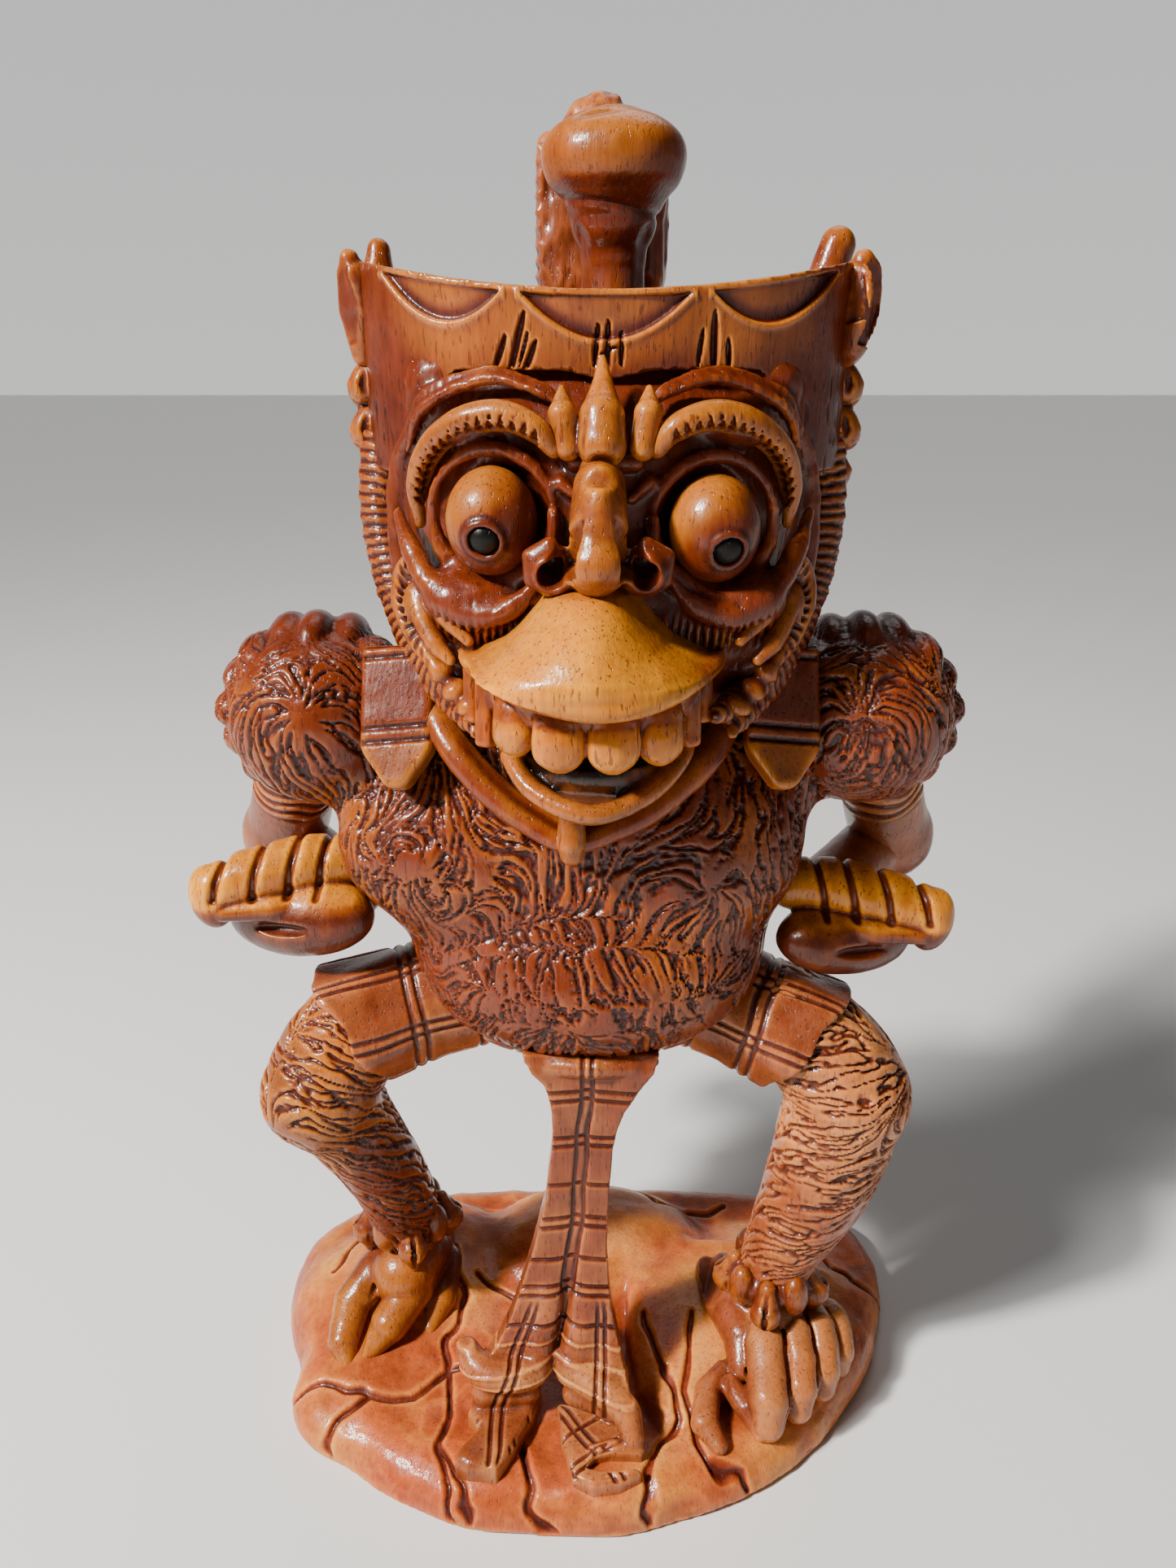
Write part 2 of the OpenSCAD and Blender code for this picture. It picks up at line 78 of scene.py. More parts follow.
def vnoise(p, size, off=0.0):
    """Smooth value noise of points p (n, 3), one cell per `size` millimetres."""
    q = p / np.asarray(size, F32) + F32(off)
    fl = np.floor(q)
    f = q - fl
    f = f * f * (3 - 2 * f)
    i = fl.astype(np.int32) & 31
    j = (i + 1) & 31
    x0, x1 = i[:, 0] * 1024, j[:, 0] * 1024
    y0, y1 = i[:, 1] * 32, j[:, 1] * 32
    z0, z1 = i[:, 2], j[:, 2]
    fx, fy, fz = f[:, 0], f[:, 1], f[:, 2]
    a, b, c, d = (LAT[x0 + y + z] * (1 - fx) + LAT[x1 + y + z] * fx for z in (z0, z1) for y in (y0, y1))
    low = a * (1 - fy) + b * fy
    high = c * (1 - fy) + d * fy
    return low * (1 - fz) + high * fz


def fbm(p, size, octaves=3, off=0.0):
    """Layers of value noise, each half the size and strength of the one before."""
    v, a, t = 0, 1.0, 0.0
    for k in range(octaves):
        v = v + a * vnoise(p, np.asarray(size, F32) / 2 ** k, off + 7.3 * k)
        t += a
        a *= 0.5
    return v / t


def facets(p, size, off=0.0):
    """Folded noise: planes that meet in sharp valleys, as a knife leaves them."""
    return np.abs(fbm(p, size, 2, off))


def sstep(a, b, x):
    """Smooth step from 0 at a to 1 at b."""
    t = np.clip((x - a) / (b - a), 0, 1)
    return t * t * (3 - 2 * t)


# ---------------------------------------------------------------- distance fields
def smin(a, b, k):
    """Union of two distances, blended over k."""
    if k <= 0:
        return np.minimum(a, b)
    h = np.maximum(k - np.abs(a - b), 0) / k
    return np.minimum(a, b) - h * h * k * 0.25


def rot(rx=0, ry=0, rz=0):
    """Rotation matrix in degrees whose columns are the turned axes."""
    a, b, c = (math.radians(v) for v in (rx, ry, rz))
    mx = np.array([[1, 0, 0], [0, math.cos(a), -math.sin(a)], [0, math.sin(a), math.cos(a)]])
    my = np.array([[math.cos(b), 0, math.sin(b)], [0, 1, 0], [-math.sin(b), 0, math.cos(b)]])
    mz = np.array([[math.cos(c), -math.sin(c), 0], [math.sin(c), math.cos(c), 0], [0, 0, 1]])
    return mz @ my @ mx


def axes(u, v):
    """Axes with x along u and z as near to v as can be."""
    u = np.array(u, float)
    u /= np.linalg.norm(u)
    w = np.cross(np.array(v, float), u)
    w /= np.linalg.norm(w)
    return np.stack([u, w, np.cross(u, w)], 1)


class Prim:
    """A distance function and the box that holds its solid."""

    def __init__(self, fn, lo, hi):
        self.fn, self.lo, self.hi = fn, np.array(lo, float), np.array(hi, float)


def local(x, y, z, c, R):
    """Coordinates from centre c along the columns of R."""
    x, y, z = x - c[0], y - c[1], z - c[2]
    return [x * R[0, i] + y * R[1, i] + z * R[2, i] for i in range(3)]


def ell(c, r, R=np.eye(3)):
    """Ellipsoid with radii r along the columns of R."""
    c, r = np.array(c, float), np.array(r, float)

    def fn(x, y, z):
        u, v, w = (a / b for a, b in zip(local(x, y, z, c, R), r))
        k0 = np.sqrt(u * u + v * v + w * w) + 1e-6
        k1 = np.sqrt((u / r[0]) ** 2 + (v / r[1]) ** 2 + (w / r[2]) ** 2) + 1e-6
        return k0 * (k0 - 1) / k1
    e = np.sqrt(((R * r) ** 2).sum(1))
    return Prim(fn, c - e, c + e)


def cap(a, b, ra, rb):
    """Rod with round ends from a to b whose radius goes from ra to rb."""
    a, b = np.array(a, float), np.array(b, float)
    ab = b - a
    L2 = float(ab @ ab) + 1e-9

    def fn(x, y, z):
        px, py, pz = x - a[0], y - a[1], z - a[2]
        t = np.clip((px * ab[0] + py * ab[1] + pz * ab[2]) / L2, 0, 1)
        return np.sqrt((px - t * ab[0]) ** 2 + (py - t * ab[1]) ** 2 + (pz - t * ab[2]) ** 2) \
            - (ra + t * (rb - ra))
    m = max(ra, rb)
    return Prim(fn, np.minimum(a, b) - m, np.maximum(a, b) + m)


def chain(pts, rad):
    """Round tube along points, with a radius at each."""
    if np.isscalar(rad):
        rad = [rad] * len(pts)
    caps = [cap(p, q, r, s) for p, q, r, s in zip(pts, pts[1:], rad, rad[1:])]

    def fn(x, y, z):
        d = caps[0].fn(x, y, z)
        for c in caps[1:]:
            d = np.minimum(d, c.fn(x, y, z))
        return d
    return Prim(fn, np.min([c.lo for c in caps], 0), np.max([c.hi for c in caps], 0))


def box(c, half, R=np.eye(3), rnd=1.0):
    """Block with half sizes along the columns of R and edges rounded to rnd."""
    c, half = np.array(c, float), np.array(half, float)

    def fn(x, y, z):
        u, v, w = (np.abs(a) - b + rnd for a, b in zip(local(x, y, z, c, R), half))
        out = np.sqrt(np.maximum(u, 0) ** 2 + np.maximum(v, 0) ** 2 + np.maximum(w, 0) ** 2)
        return out + np.minimum(np.maximum(np.maximum(u, v), w), 0) - rnd
    e = (np.abs(R) * half).sum(1)
    return Prim(fn, c - e, c + e)


def plate(pts, z0, z1, rnd=1.0):
    """Upright slab on a closed outline, edges rounded; z0 and z1 may be functions of x, y."""
    p = np.array(pts, float)

    def fn(x, y, z):
        d, s = 1e9, 1.0
        for a, b in zip(p, np.roll(p, 1, 0)):
            ex, ey = b - a
            wx, wy = x - a[0], y - a[1]
            t = np.clip((wx * ex + wy * ey) / (ex * ex + ey * ey), 0, 1)
            d = np.minimum(d, (wx - t * ex) ** 2 + (wy - t * ey) ** 2)
            c1, c2, c3 = y >= a[1], y < b[1], ex * wy > ey * wx
            s = np.where((c1 & c2 & c3) | (~c1 & ~c2 & ~c3), -s, s)
        d = s * np.sqrt(d) + rnd
        w = np.maximum((z0(x, y) if callable(z0) else z0) - z, z - (z1(x, y) if callable(z1) else z1)) + rnd
        return np.sqrt(np.maximum(d, 0) ** 2 + np.maximum(w, 0) ** 2) + np.minimum(np.maximum(d, w), 0) - rnd
    return Prim(fn, (*p.min(0), 0 if callable(z0) else z0), (*p.max(0), 40 if callable(z1) else z1))


def smooth_path(pts, n=8):
    """Catmull-Rom points through pts."""
    p = np.array(pts, float)
    p = np.vstack([2 * p[0] - p[1], p, 2 * p[-1] - p[-2]])
    out = []
    for i in range(1, len(p) - 2):
        for t in np.arange(n) / n:
            a, b, c, d = p[i - 1], p[i], p[i + 1], p[i + 2]
            out.append(0.5 * (2 * b + (c - a) * t + (2 * a - 5 * b + 4 * c - d) * t * t
                              + (3 * b - a - 3 * c + d) * t ** 3))
    out.append(p[-2])
    return np.array(out)


def ramp(vals, n):
    """Values at n even places along a list of key values."""
    return list(np.interp(np.linspace(0, 1, n), np.linspace(0, 1, len(vals)), vals))


FAR_OUT = 6.0    # distance that an empty field starts with, millimetres
BAND = 3.0       # voxels of distance kept on each side of a surface


class Field:
    """Signed distances in millimetres on a grid of step h, carved by adding and cutting solids."""

    def __init__(self, lo, hi, h):
        self.h = h
        self.lo = np.array(lo, float)
        n = np.ceil((np.array(hi, float) - self.lo) / h).astype(int) + 1
        self.n = n
        self.ax = [(self.lo[i] + h * np.arange(n[i])).astype(F32) for i in range(3)]
        self.d = np.full(tuple(n), FAR_OUT, F32)

    def win(self, prim, pad):
        """The part of the grid near a solid, and its coordinates."""
        sl = []
        for i in range(3):
            a = int(math.floor((prim.lo[i] - pad - self.lo[i]) / self.h))
            b = int(math.ceil((prim.hi[i] + pad - self.lo[i]) / self.h)) + 1
            sl.append(slice(max(0, a), max(0, min(self.n[i], b))))
        s = tuple(sl)
        x = self.ax[0][s[0]][:, None, None]
        y = self.ax[1][s[1]][None, :, None]
        z = self.ax[2][s[2]][None, None, :]
        return s, x, y, z

    def add(self, prim, k=0.0):
        """Join a solid on, with a fillet of size k."""
        s, x, y, z = self.win(prim, k + 2 * self.h + 1.0)
        if min(self.d[s].shape) > 0:
            self.d[s] = smin(self.d[s], prim.fn(x, y, z).astype(F32), k)

    def cut(self, prim, k=0.0):
        """Take a solid away, with its rim eased over k."""
        s, x, y, z = self.win(prim, k + 2 * self.h + 1.0)
        if min(self.d[s].shape) > 0:
            self.d[s] = -smin(-self.d[s], prim.fn(x, y, z).astype(F32), k)

    def keep(self, fn, k=0.0):
        """Cut away everything where fn is positive."""
        x, y, z = self.ax[0][:, None, None], self.ax[1][None, :, None], self.ax[2][None, None, :]
        self.d = -smin(-self.d, -fn(x, y, z).astype(F32), k)

    def mesh(self):
        """Vertices and quads of the surface."""
        d = self.d
        for face in (d[0], d[-1], d[:, 0], d[:, -1], d[:, :, 0], d[:, :, -1]):
            face[:] = BAND
        g = vdb.FloatGrid(BAND)
        g.copyFromArray(np.clip(d / self.h, -BAND, BAND))
        v, q = g.convertToQuads()
        return v.astype(F32) * self.h + self.lo.astype(F32), q.astype(np.int32)


def side_field(s, x, y, z, h, mid=0.0):
    """Field over ranges of x, y and z, with x measured outwards from mid on side s."""
    xs = sorted(mid + s * v for v in x)
    return Field((xs[0], y[0], z[0]), (xs[1], y[1], z[1]), h)


# ---------------------------------------------------------------- where the pieces go
# box centres of the CAD nodes that the sculpted groups were drawn around, in millimetres
DRAWN = {"head": (3.0, -5.26, 216.38), "torso": (-1.0, -3.0, 149.09), "base": (0, 0, 13.0),
         "crown_band": (3.5, -8.4, 251.01), "topknot_post": (3.0, 27.0, 258.5)}


def centre(node):
    """Middle of a CAD node's box, in millimetres."""
    lo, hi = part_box(node)
    return (np.array(lo) + np.array(hi)) * 500.0


# ---------------------------------------------------------------- mesh handling
def new_mesh(name, v, q):
    """Smooth-shaded mesh of quads."""
    me = bpy.data.meshes.new(name)
    me.vertices.add(len(v))
    me.vertices.foreach_set("co", np.ascontiguousarray(v, F32).ravel())
    me.loops.add(q.size)
    me.loops.foreach_set("vertex_index", np.ascontiguousarray(q, np.int32).ravel())
    me.polygons.add(len(q))
    me.polygons.foreach_set("loop_start", np.arange(0, q.size, q.shape[1], dtype=np.int32))
    me.update(calc_edges=True)
    me.polygons.foreach_set("use_smooth", np.ones(len(q), bool))
    return me


def arrays(me):
    """Vertices, normals and edges as arrays."""
    v = np.empty(len(me.vertices) * 3, F32)
    me.vertices.foreach_get("co", v)
    n = np.empty(len(me.vertices) * 3, F32)
    me.vertex_normals.foreach_get("vector", n)
    e = np.empty(len(me.edges) * 2, np.int32)
    me.edges.foreach_get("vertices", e)
    return v.reshape(-1, 3), n.reshape(-1, 3), e.reshape(-1, 2)


class Skin:
    """A mesh in millimetres that can be refined, displaced and coloured."""

    def __init__(self, name, v, q, levels=0):
        self.name = name
        self.me = new_mesh(name, v, q)
        self.obj = bpy.data.objects.new(name, self.me)
        SCENE.collection.objects.link(self.obj)
        if levels:
            m = self.obj.modifiers.new("sub", "SUBSURF")
            m.levels = levels
            dg = bpy.context.evaluated_depsgraph_get()
            me = bpy.data.meshes.new_from_object(self.obj.evaluated_get(dg))
            self.obj.modifiers.clear()
            old = self.me
            self.obj.data = self.me = me
            bpy.data.meshes.remove(old)
        self.v, self.n, self.e = arrays(self.me)
        self.deg = np.bincount(self.e.ravel(), minlength=len(self.v)).astype(F32)
        # read by the materials: 1 on a ridge to -1 in a cut, and a tone for how golden the wood is rubbed,
        # which on several pieces also carries painted light and shade set by the way faces turn
        self.relief = np.zeros(len(self.v), F32)
        self.tone = np.zeros(len(self.v), F32)

    def push(self, amount):
        """Move each vertex along its normal."""
        self.v = self.v + self.n * np.asarray(amount, F32)[:, None]
        self.me.vertices.foreach_set("co", self.v.ravel())
        self.me.update()
        n = np.empty(len(self.v) * 3, F32)
        self.me.vertex_normals.foreach_get("vector", n)
        self.n = n.reshape(-1, 3)

    def avg(self, a):
        """Mean of each vertex's neighbours."""
        i, j = self.e[:, 0], self.e[:, 1]
        if a.ndim == 1:
            s = np.bincount(i, a[j], len(self.v)) + np.bincount(j, a[i], len(self.v))
            return (s / self.deg).astype(F32)
        return np.stack([self.avg(a[:, k]) for k in range(a.shape[1])], 1)

    def cavity(self, rounds):
        """How far each vertex stands out of the surface smoothed over some rounds."""
        s = self.v
        for _ in range(rounds):
            s = 0.25 * s + 0.75 * self.avg(s)
        return ((self.v - s) * self.n).sum(1)

    def finish(self, mat, slot, group, cavity=1.0, rounds=7, nodes=None):
        """Seat the piece with its group, colour its cuts and hand it over in metres."""
        if group:
            self.v = self.v + (centre(group) - np.array(DRAWN[group])).astype(F32)
        self.relief = np.clip(self.relief + cavity * self.cavity(rounds) / 0.25, -1.5, 1.5)
        for key, values in (("relief", self.relief), ("tone", self.tone)):
            layer = self.me.attributes.new(key, "FLOAT", "POINT")
            layer.data.foreach_set("value", np.ascontiguousarray(values, F32))
        self.me.vertices.foreach_set("co", (self.v * F32(MM)).ravel())
        self.me.update()
        self.me.materials.clear()
        self.me.materials.append(mat)
        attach(self.obj, "root")
        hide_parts(*(nodes or [self.name]))
        log("%s: %d quads" % (self.name, len(self.me.polygons)))


def skin(name, field, levels=0):
    """The surface of a field, with its quads split `levels` times."""
    v, q = field.mesh()
    return Skin(name, v, q, levels)


def knife(b, depth, planes_mm, tone, spread, blotch_mm):
    """Finish with knife planes, and a tone that drifts by `spread` from blotch to blotch."""
    b.push(-depth * facets(b.v, planes_mm))
    b.tone = tone + spread * fbm(b.v, blotch_mm, 2)


# ---------------------------------------------------------------- fur
def whorl_flow(whorls, drift=(0, 0, -1), far=0.0006, wave=0.7, wave_mm=4.0, off=0.0):
    """Direction of the hair: out of each whorl (x, y, z, twist) near it and along drift far from all."""
    cs = np.array([w[:3] for w in whorls], F32)
    sw = [w[3] for w in whorls]

    def flow(p, n):
        d = np.tile(np.array(drift, F32) * F32(far), (len(p), 1))
        for c, s in zip(cs, sw):
            r = p - c
            r = r - n * (r * n).sum(1)[:, None]
            r2 = (r * r).sum(1) + 1e-3
            t = np.cross(n, r)
            w = (1 / (r2 * np.sqrt(r2)))[:, None]
            d += (r * math.cos(s) + t * math.sin(s)) * w / np.sqrt(r2)[:, None]
        d = d - n * (d * n).sum(1)[:, None]
        d /= np.sqrt((d * d).sum(1))[:, None] + 1e-9
        a = wave * vnoise(p, wave_mm, off)
        return d * np.cos(a)[:, None] + np.cross(n, d) * np.sin(a)[:, None]
    return flow


def streaks(p, n, flow, cell=1.0, length=5.0, steps=8):
    """Noise smeared along the flow over the surface and cut by thin grooves: strands from 1 down to -1."""
    margin, h, far = 4.0, 0.9, 1.2      # round the mesh, voxel of the map, and farthest pull back, in mm
    groove, crown = 0.42, 1.2           # widths of a groove and of a strand's round back, in deviations
    lo = p.min(0) - margin
    dims = ((p.max(0) + margin - lo) / h).astype(int) + 1
    # a map from voxels to vertices holds each step on the surface
    near = np.full(dims, -1, np.int32)
    near[tuple(((p - lo) / h).astype(int).T)] = np.arange(len(p))
    acc = vnoise(p, cell)
    for s in (1, -1):
        q, m = p.copy(), n.copy()
        for _ in range(steps):
            q = q + flow(q, m) * F32(s * length / steps)
            i = near[tuple(np.clip(((q - lo) / h).astype(int), 0, dims - 1).T)]
            ok = (i >= 0)[:, None]
            drop = ((q - p[i]) * n[i]).sum(1)[:, None]
            q = q - np.where(ok & (np.abs(drop) < far), n[i] * drop, 0).astype(F32)
            m = np.where(ok, n[i], m)
            acc = acc + vnoise(q, cell)
    acc = acc - acc.mean()
    acc = acc / (acc.std() + 1e-6)
    return 1 - 2.0 * np.exp(-(acc / groove) ** 2) - 0.3 * np.exp(-(np.abs(acc) / crown))


# ---------------------------------------------------------------- materials
def wood(name, deep, mid, gold, rough=0.34, coat=0.45, fleck=0.6, blotch=0.5, gild=0.0):
    """Stained, rubbed-back and varnished wood: recess, face and burnished colours."""
    m = bpy.data.materials.new(name)
    m.use_nodes = True
    nt = m.node_tree
    nt.nodes.clear()

    def node(kind, **kw):
        n = nt.nodes.new(kind)
        for k, v in kw.items():
            setattr(n, k, v)
        return n

    def link(a, b):
        nt.links.new(a, b)

    def math_(op, a, b=None, clamp=False):
        n = node("ShaderNodeMath", operation=op, use_clamp=clamp)
        for i, s in enumerate((a, b)):
            if s is None:
                continue
            if isinstance(s, (int, float)):
                n.inputs[i].default_value = s
            else:
                link(s, n.inputs[i])
        return n.outputs[0]

    def mapr(src, a, b, c, d):
        n = node("ShaderNodeMapRange")
        link(src, n.inputs["Value"])
        for key, val in (("From Min", a), ("From Max", b), ("To Min", c), ("To Max", d)):
            n.inputs[key].default_value = val
        return n.outputs["Result"]

    def noise(scale, stretch=(1, 1, 1), detail=3.0, rough_=0.55, distort=0.0):
        mp = node("ShaderNodeMapping")
        mp.inputs["Scale"].default_value = tuple(scale * s for s in stretch)
        link(coord, mp.inputs["Vector"])
        n = node("ShaderNodeTexNoise")
        n.inputs["Scale"].default_value = 1.0
        n.inputs["Detail"].default_value = detail
        n.inputs["Roughness"].default_value = rough_
        n.inputs["Distortion"].default_value = distort
        link(mp.outputs["Vector"], n.inputs["Vector"])
        return n.outputs["Fac"]

    def mix(kind, fac, a, b):
        n = node("ShaderNodeMix", data_type="RGBA", blend_type=kind)
        n.clamp_factor = True
        for sock, s in ((n.inputs[0], fac), (n.inputs[6], a), (n.inputs[7], b)):
            if isinstance(s, (int, float)):
                sock.default_value = s
            elif isinstance(s, tuple):
                sock.default_value = s + (1,)
            else:
                link(s, sock)
        return n.outputs[2]

    coord = node("ShaderNodeTexCoord").outputs["Object"]
    rel = node("ShaderNodeAttribute", attribute_name="relief").outputs["Fac"]
    # tone: golden rubbing, and on several pieces painted light and shade too
    tone = node("ShaderNodeAttribute", attribute_name="tone").outputs["Fac"]

    # scales are in cells per metre; wood fibres run along z
    rings = noise(70, (1, 1, 0.12), 4.0, 0.6, 0.6)
    grain = noise(1000, (1, 1, 0.05), 3.0, 0.6)
    pores = noise(1700, (1, 1, 0.2), 2.0, 0.5)
    stain = noise(55, (1, 1, 0.7), 4.0, 0.6)
    rub = noise(210, (1, 1, 0.6), 4.0, 0.6)

    face = mapr(rel, -0.75, 0.7, 0.0, 1.0)
    wob = math_("MULTIPLY", math_("SUBTRACT", rub, 0.5), 0.9)
    up = math_("ADD", math_("ADD", face, wob), math_("MULTIPLY", tone, 0.25), clamp=True)
    col = mix("MIX", up, deep, mid)
    g0 = math_("ADD", tone, math_("MULTIPLY", math_("SUBTRACT", stain, 0.5), 1.6))
    g1 = math_("ADD", g0, math_("MULTIPLY", math_("SUBTRACT", rel, 0.35), 0.45))
    goldness = mapr(math_("ADD", g1, gild), 0.1, 0.95, 0.0, 1.0)
    col = mix("MIX", math_("MULTIPLY", goldness, mapr(face, 0.2, 0.75, 0.0, 1.0)), col, gold)
    red = mapr(stain, 0.42, 0.62, 0.0, blotch)
    col = mix("MULTIPLY", red, col, (1.0, 0.62, 0.5))
    col = mix("MULTIPLY", mapr(rings, 0.38, 0.62, 0.5, 0.0), col, (0.72, 0.6, 0.5))
    col = mix("MULTIPLY", mapr(grain, 0.4, 0.62, 0.0, 0.35), col, (0.6, 0.45, 0.36))
    pore = mapr(pores, 0.61, 0.68, 0.0, 1.0)
    col = mix("MULTIPLY", math_("MULTIPLY", pore, fleck), col, (0.28, 0.17, 0.12))

    bs = node("ShaderNodeBsdfPrincipled")
    link(col, bs.inputs["Base Color"])
    r = math_("ADD", mapr(rub, 0.3, 0.7, rough - 0.07, rough + 0.09),
              mapr(rel, -0.6, 0.2, 0.14, 0.0))
    link(r, bs.inputs["Roughness"])
    bs.inputs["IOR"].default_value = 1.5
    bs.inputs["Specular IOR Level"].default_value = 0.22
    bs.inputs["Coat Weight"].default_value = coat
    bs.inputs["Coat Roughness"].default_value = 0.13
    bs.inputs["Coat IOR"].default_value = 1.5
    bs.inputs["Subsurface Weight"].default_value = 0.0
    hgt = math_("ADD", math_("MULTIPLY", grain, 0.5), math_("MULTIPLY", rub, 0.8))
    hgt = math_("SUBTRACT", hgt, math_("MULTIPLY", pore, 0.35))
    bp = node("ShaderNodeBump")
    bp.inputs["Strength"].default_value = 0.7
    bp.inputs["Distance"].default_value = 0.00028
    link(hgt, bp.inputs["Height"])
    link(bp.outputs["Normal"], bs.inputs["Normal"])
    link(bp.outputs["Normal"], bs.inputs["Coat Normal"])
    out = node("ShaderNodeOutputMaterial")
    link(bs.outputs[0], out.inputs["Surface"])
    return m


DEEP = (0.045, 0.0045, 0.0008)
BROWN = wood("wood_brown", DEEP, (0.215, 0.036, 0.005), (0.54, 0.195, 0.016))
GOLD = wood("wood_burnished", (0.10, 0.013, 0.001), (0.46, 0.115, 0.006), (0.88, 0.37, 0.016),
            rough=0.3, fleck=0.75, gild=0.1)
RED = wood("wood_reddish", (0.055, 0.006, 0.0015), (0.34, 0.080, 0.020), (0.64, 0.27, 0.075))
ORANGE = wood("wood_orange", (0.085, 0.010, 0.003), (0.58, 0.115, 0.022), (0.74, 0.33, 0.06),
              rough=0.4, coat=0.3, fleck=0.3)
BLACK = wood("inlay_black", (0.001, 0.001, 0.001), (0.004, 0.003, 0.002), (0.008, 0.006, 0.005), rough=0.4,
             coat=0.05, fleck=0.0, blotch=0.0)
DARK = wood("wood_dark", (0.004, 0.0008, 0.0003), (0.028, 0.006, 0.002), (0.42, 0.13, 0.016),
            rough=0.24, coat=0.6)


PHOTO_PX = 1927.0    # height of the photo's frame
FOCAL_PX = 1448.0    # focal length in the photo's own pixels
SENSOR = 24.0
CAM_AHEAD = 0.193    # in front of the base, metres
CAM_UP = 0.250
CAM_DIP = 20         # degrees below the horizon


def stage_and_light():
    """Pale floor, studio lights and surround, and a camera at the photo's angle."""
    me = bpy.data.meshes.new("floor")
    me.from_pydata([(-6, -4, 0), (6, -4, 0), (6, 8, 0), (-6, 8, 0)], [], [(0, 1, 2, 3)])
    floor = bpy.data.objects.new("floor", me)
    SCENE.collection.objects.link(floor)
    m = bpy.data.materials.new("floor_paper")
    m.use_nodes = True
    b = m.node_tree.nodes["Principled BSDF"]
    b.inputs["Base Color"].default_value = (0.74, 0.73, 0.71, 1)
    b.inputs["Roughness"].default_value = 0.8
    me.materials.append(m)
    floor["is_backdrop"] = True

    lo, hi = (Vector(c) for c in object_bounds())
    mid = (lo + hi) / 2
    aim = Vector((mid.x, mid.y, lo.z + 0.6 * (hi.z - lo.z)))

    def area(name, at, size, watts, col=(1, 1, 1), to=aim):
        d = bpy.data.lights.new(name, "AREA")
        d.shape = "DISK"
        d.size = size
        d.energy = watts
        d.color = col
        o = bpy.data.objects.new(name, d)
        o.location = at
        o.rotation_euler = (Vector(to) - Vector(at)).to_track_quat("-Z", "Y").to_euler()
        SCENE.collection.objects.link(o)

    area("key", (-0.62, -0.42, 0.76), 0.09, 19.0, (1.0, 0.96, 0.90))
    area("fill", (0.6, -0.6, 0.45), 0.7, 0.25, (0.95, 0.97, 1.0))
    area("top", (0.1, 0.45, 0.95), 0.6, 1.4)
    d = bpy.data.lights.new("sun", "SUN")
    d.energy = 2.5
    d.angle = math.radians(12)
    o = bpy.data.objects.new("sun", d)
    o.rotation_euler = Vector((0.60, 0.40, -0.69)).to_track_quat("-Z", "Y").to_euler()
    SCENE.collection.objects.link(o)
    # soft studio surround: palest at the horizon, dimmer overhead
    w = bpy.data.worlds.new("studio")
    SCENE.world = w
    w.use_nodes = True
    nt = w.node_tree
    bg = nt.nodes["Background"]
    tc = nt.nodes.new("ShaderNodeTexCoord")
    sep = nt.nodes.new("ShaderNodeSeparateXYZ")
    rampn = nt.nodes.new("ShaderNodeValToRGB")
    nt.links.new(tc.outputs["Generated"], sep.inputs[0])
    nt.links.new(sep.outputs["Z"], rampn.inputs["Fac"])
    # the backdrop lies behind the piece; the other sides of the room are dimmer
    back = nt.nodes.new("ShaderNodeMapRange")
    for key, val in (("From Min", 0.6), ("From Max", 0.86), ("To Min", 0.2), ("To Max", 1.0)):
        back.inputs[key].default_value = val
    nt.links.new(sep.outputs["Y"], back.inputs["Value"])
    dim = nt.nodes.new("ShaderNodeMix")
    dim.data_type, dim.blend_type = "RGBA", "MULTIPLY"
    dim.inputs[0].default_value = 1.0
    nt.links.new(rampn.outputs["Color"], dim.inputs[6])
    nt.links.new(back.outputs["Result"], dim.inputs[7])
    nt.links.new(dim.outputs[2], bg.inputs["Color"])
    cr = rampn.color_ramp
    cr.elements[0].position, cr.elements[0].color = 0.0, (0.76, 0.755, 0.74, 1)
    cr.elements[1].position, cr.elements[1].color = 1.0, (0.07, 0.07, 0.075, 1)
    for at, val in ((0.24, 0.68), (0.5, 0.16)):
        cr.elements.new(at).color = (val, val, val, 1)
    bg.inputs["Strength"].default_value = 1.0

    cam = bpy.data.cameras.new("view")
    cam.sensor_fit = "VERTICAL"
    cam.sensor_height = SENSOR
    cam.lens = SENSOR * FOCAL_PX / PHOTO_PX
    cam.clip_start = 0.01
    o = bpy.data.objects.new("view", cam)
    blo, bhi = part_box("base")
    o.location = ((blo[0] + bhi[0]) / 2, blo[1] - CAM_AHEAD, blo[2] + CAM_UP)
    o.rotation_euler = (math.radians(90 - CAM_DIP), 0, 0)
    SCENE.collection.objects.link(o)
    SCENE.camera = o


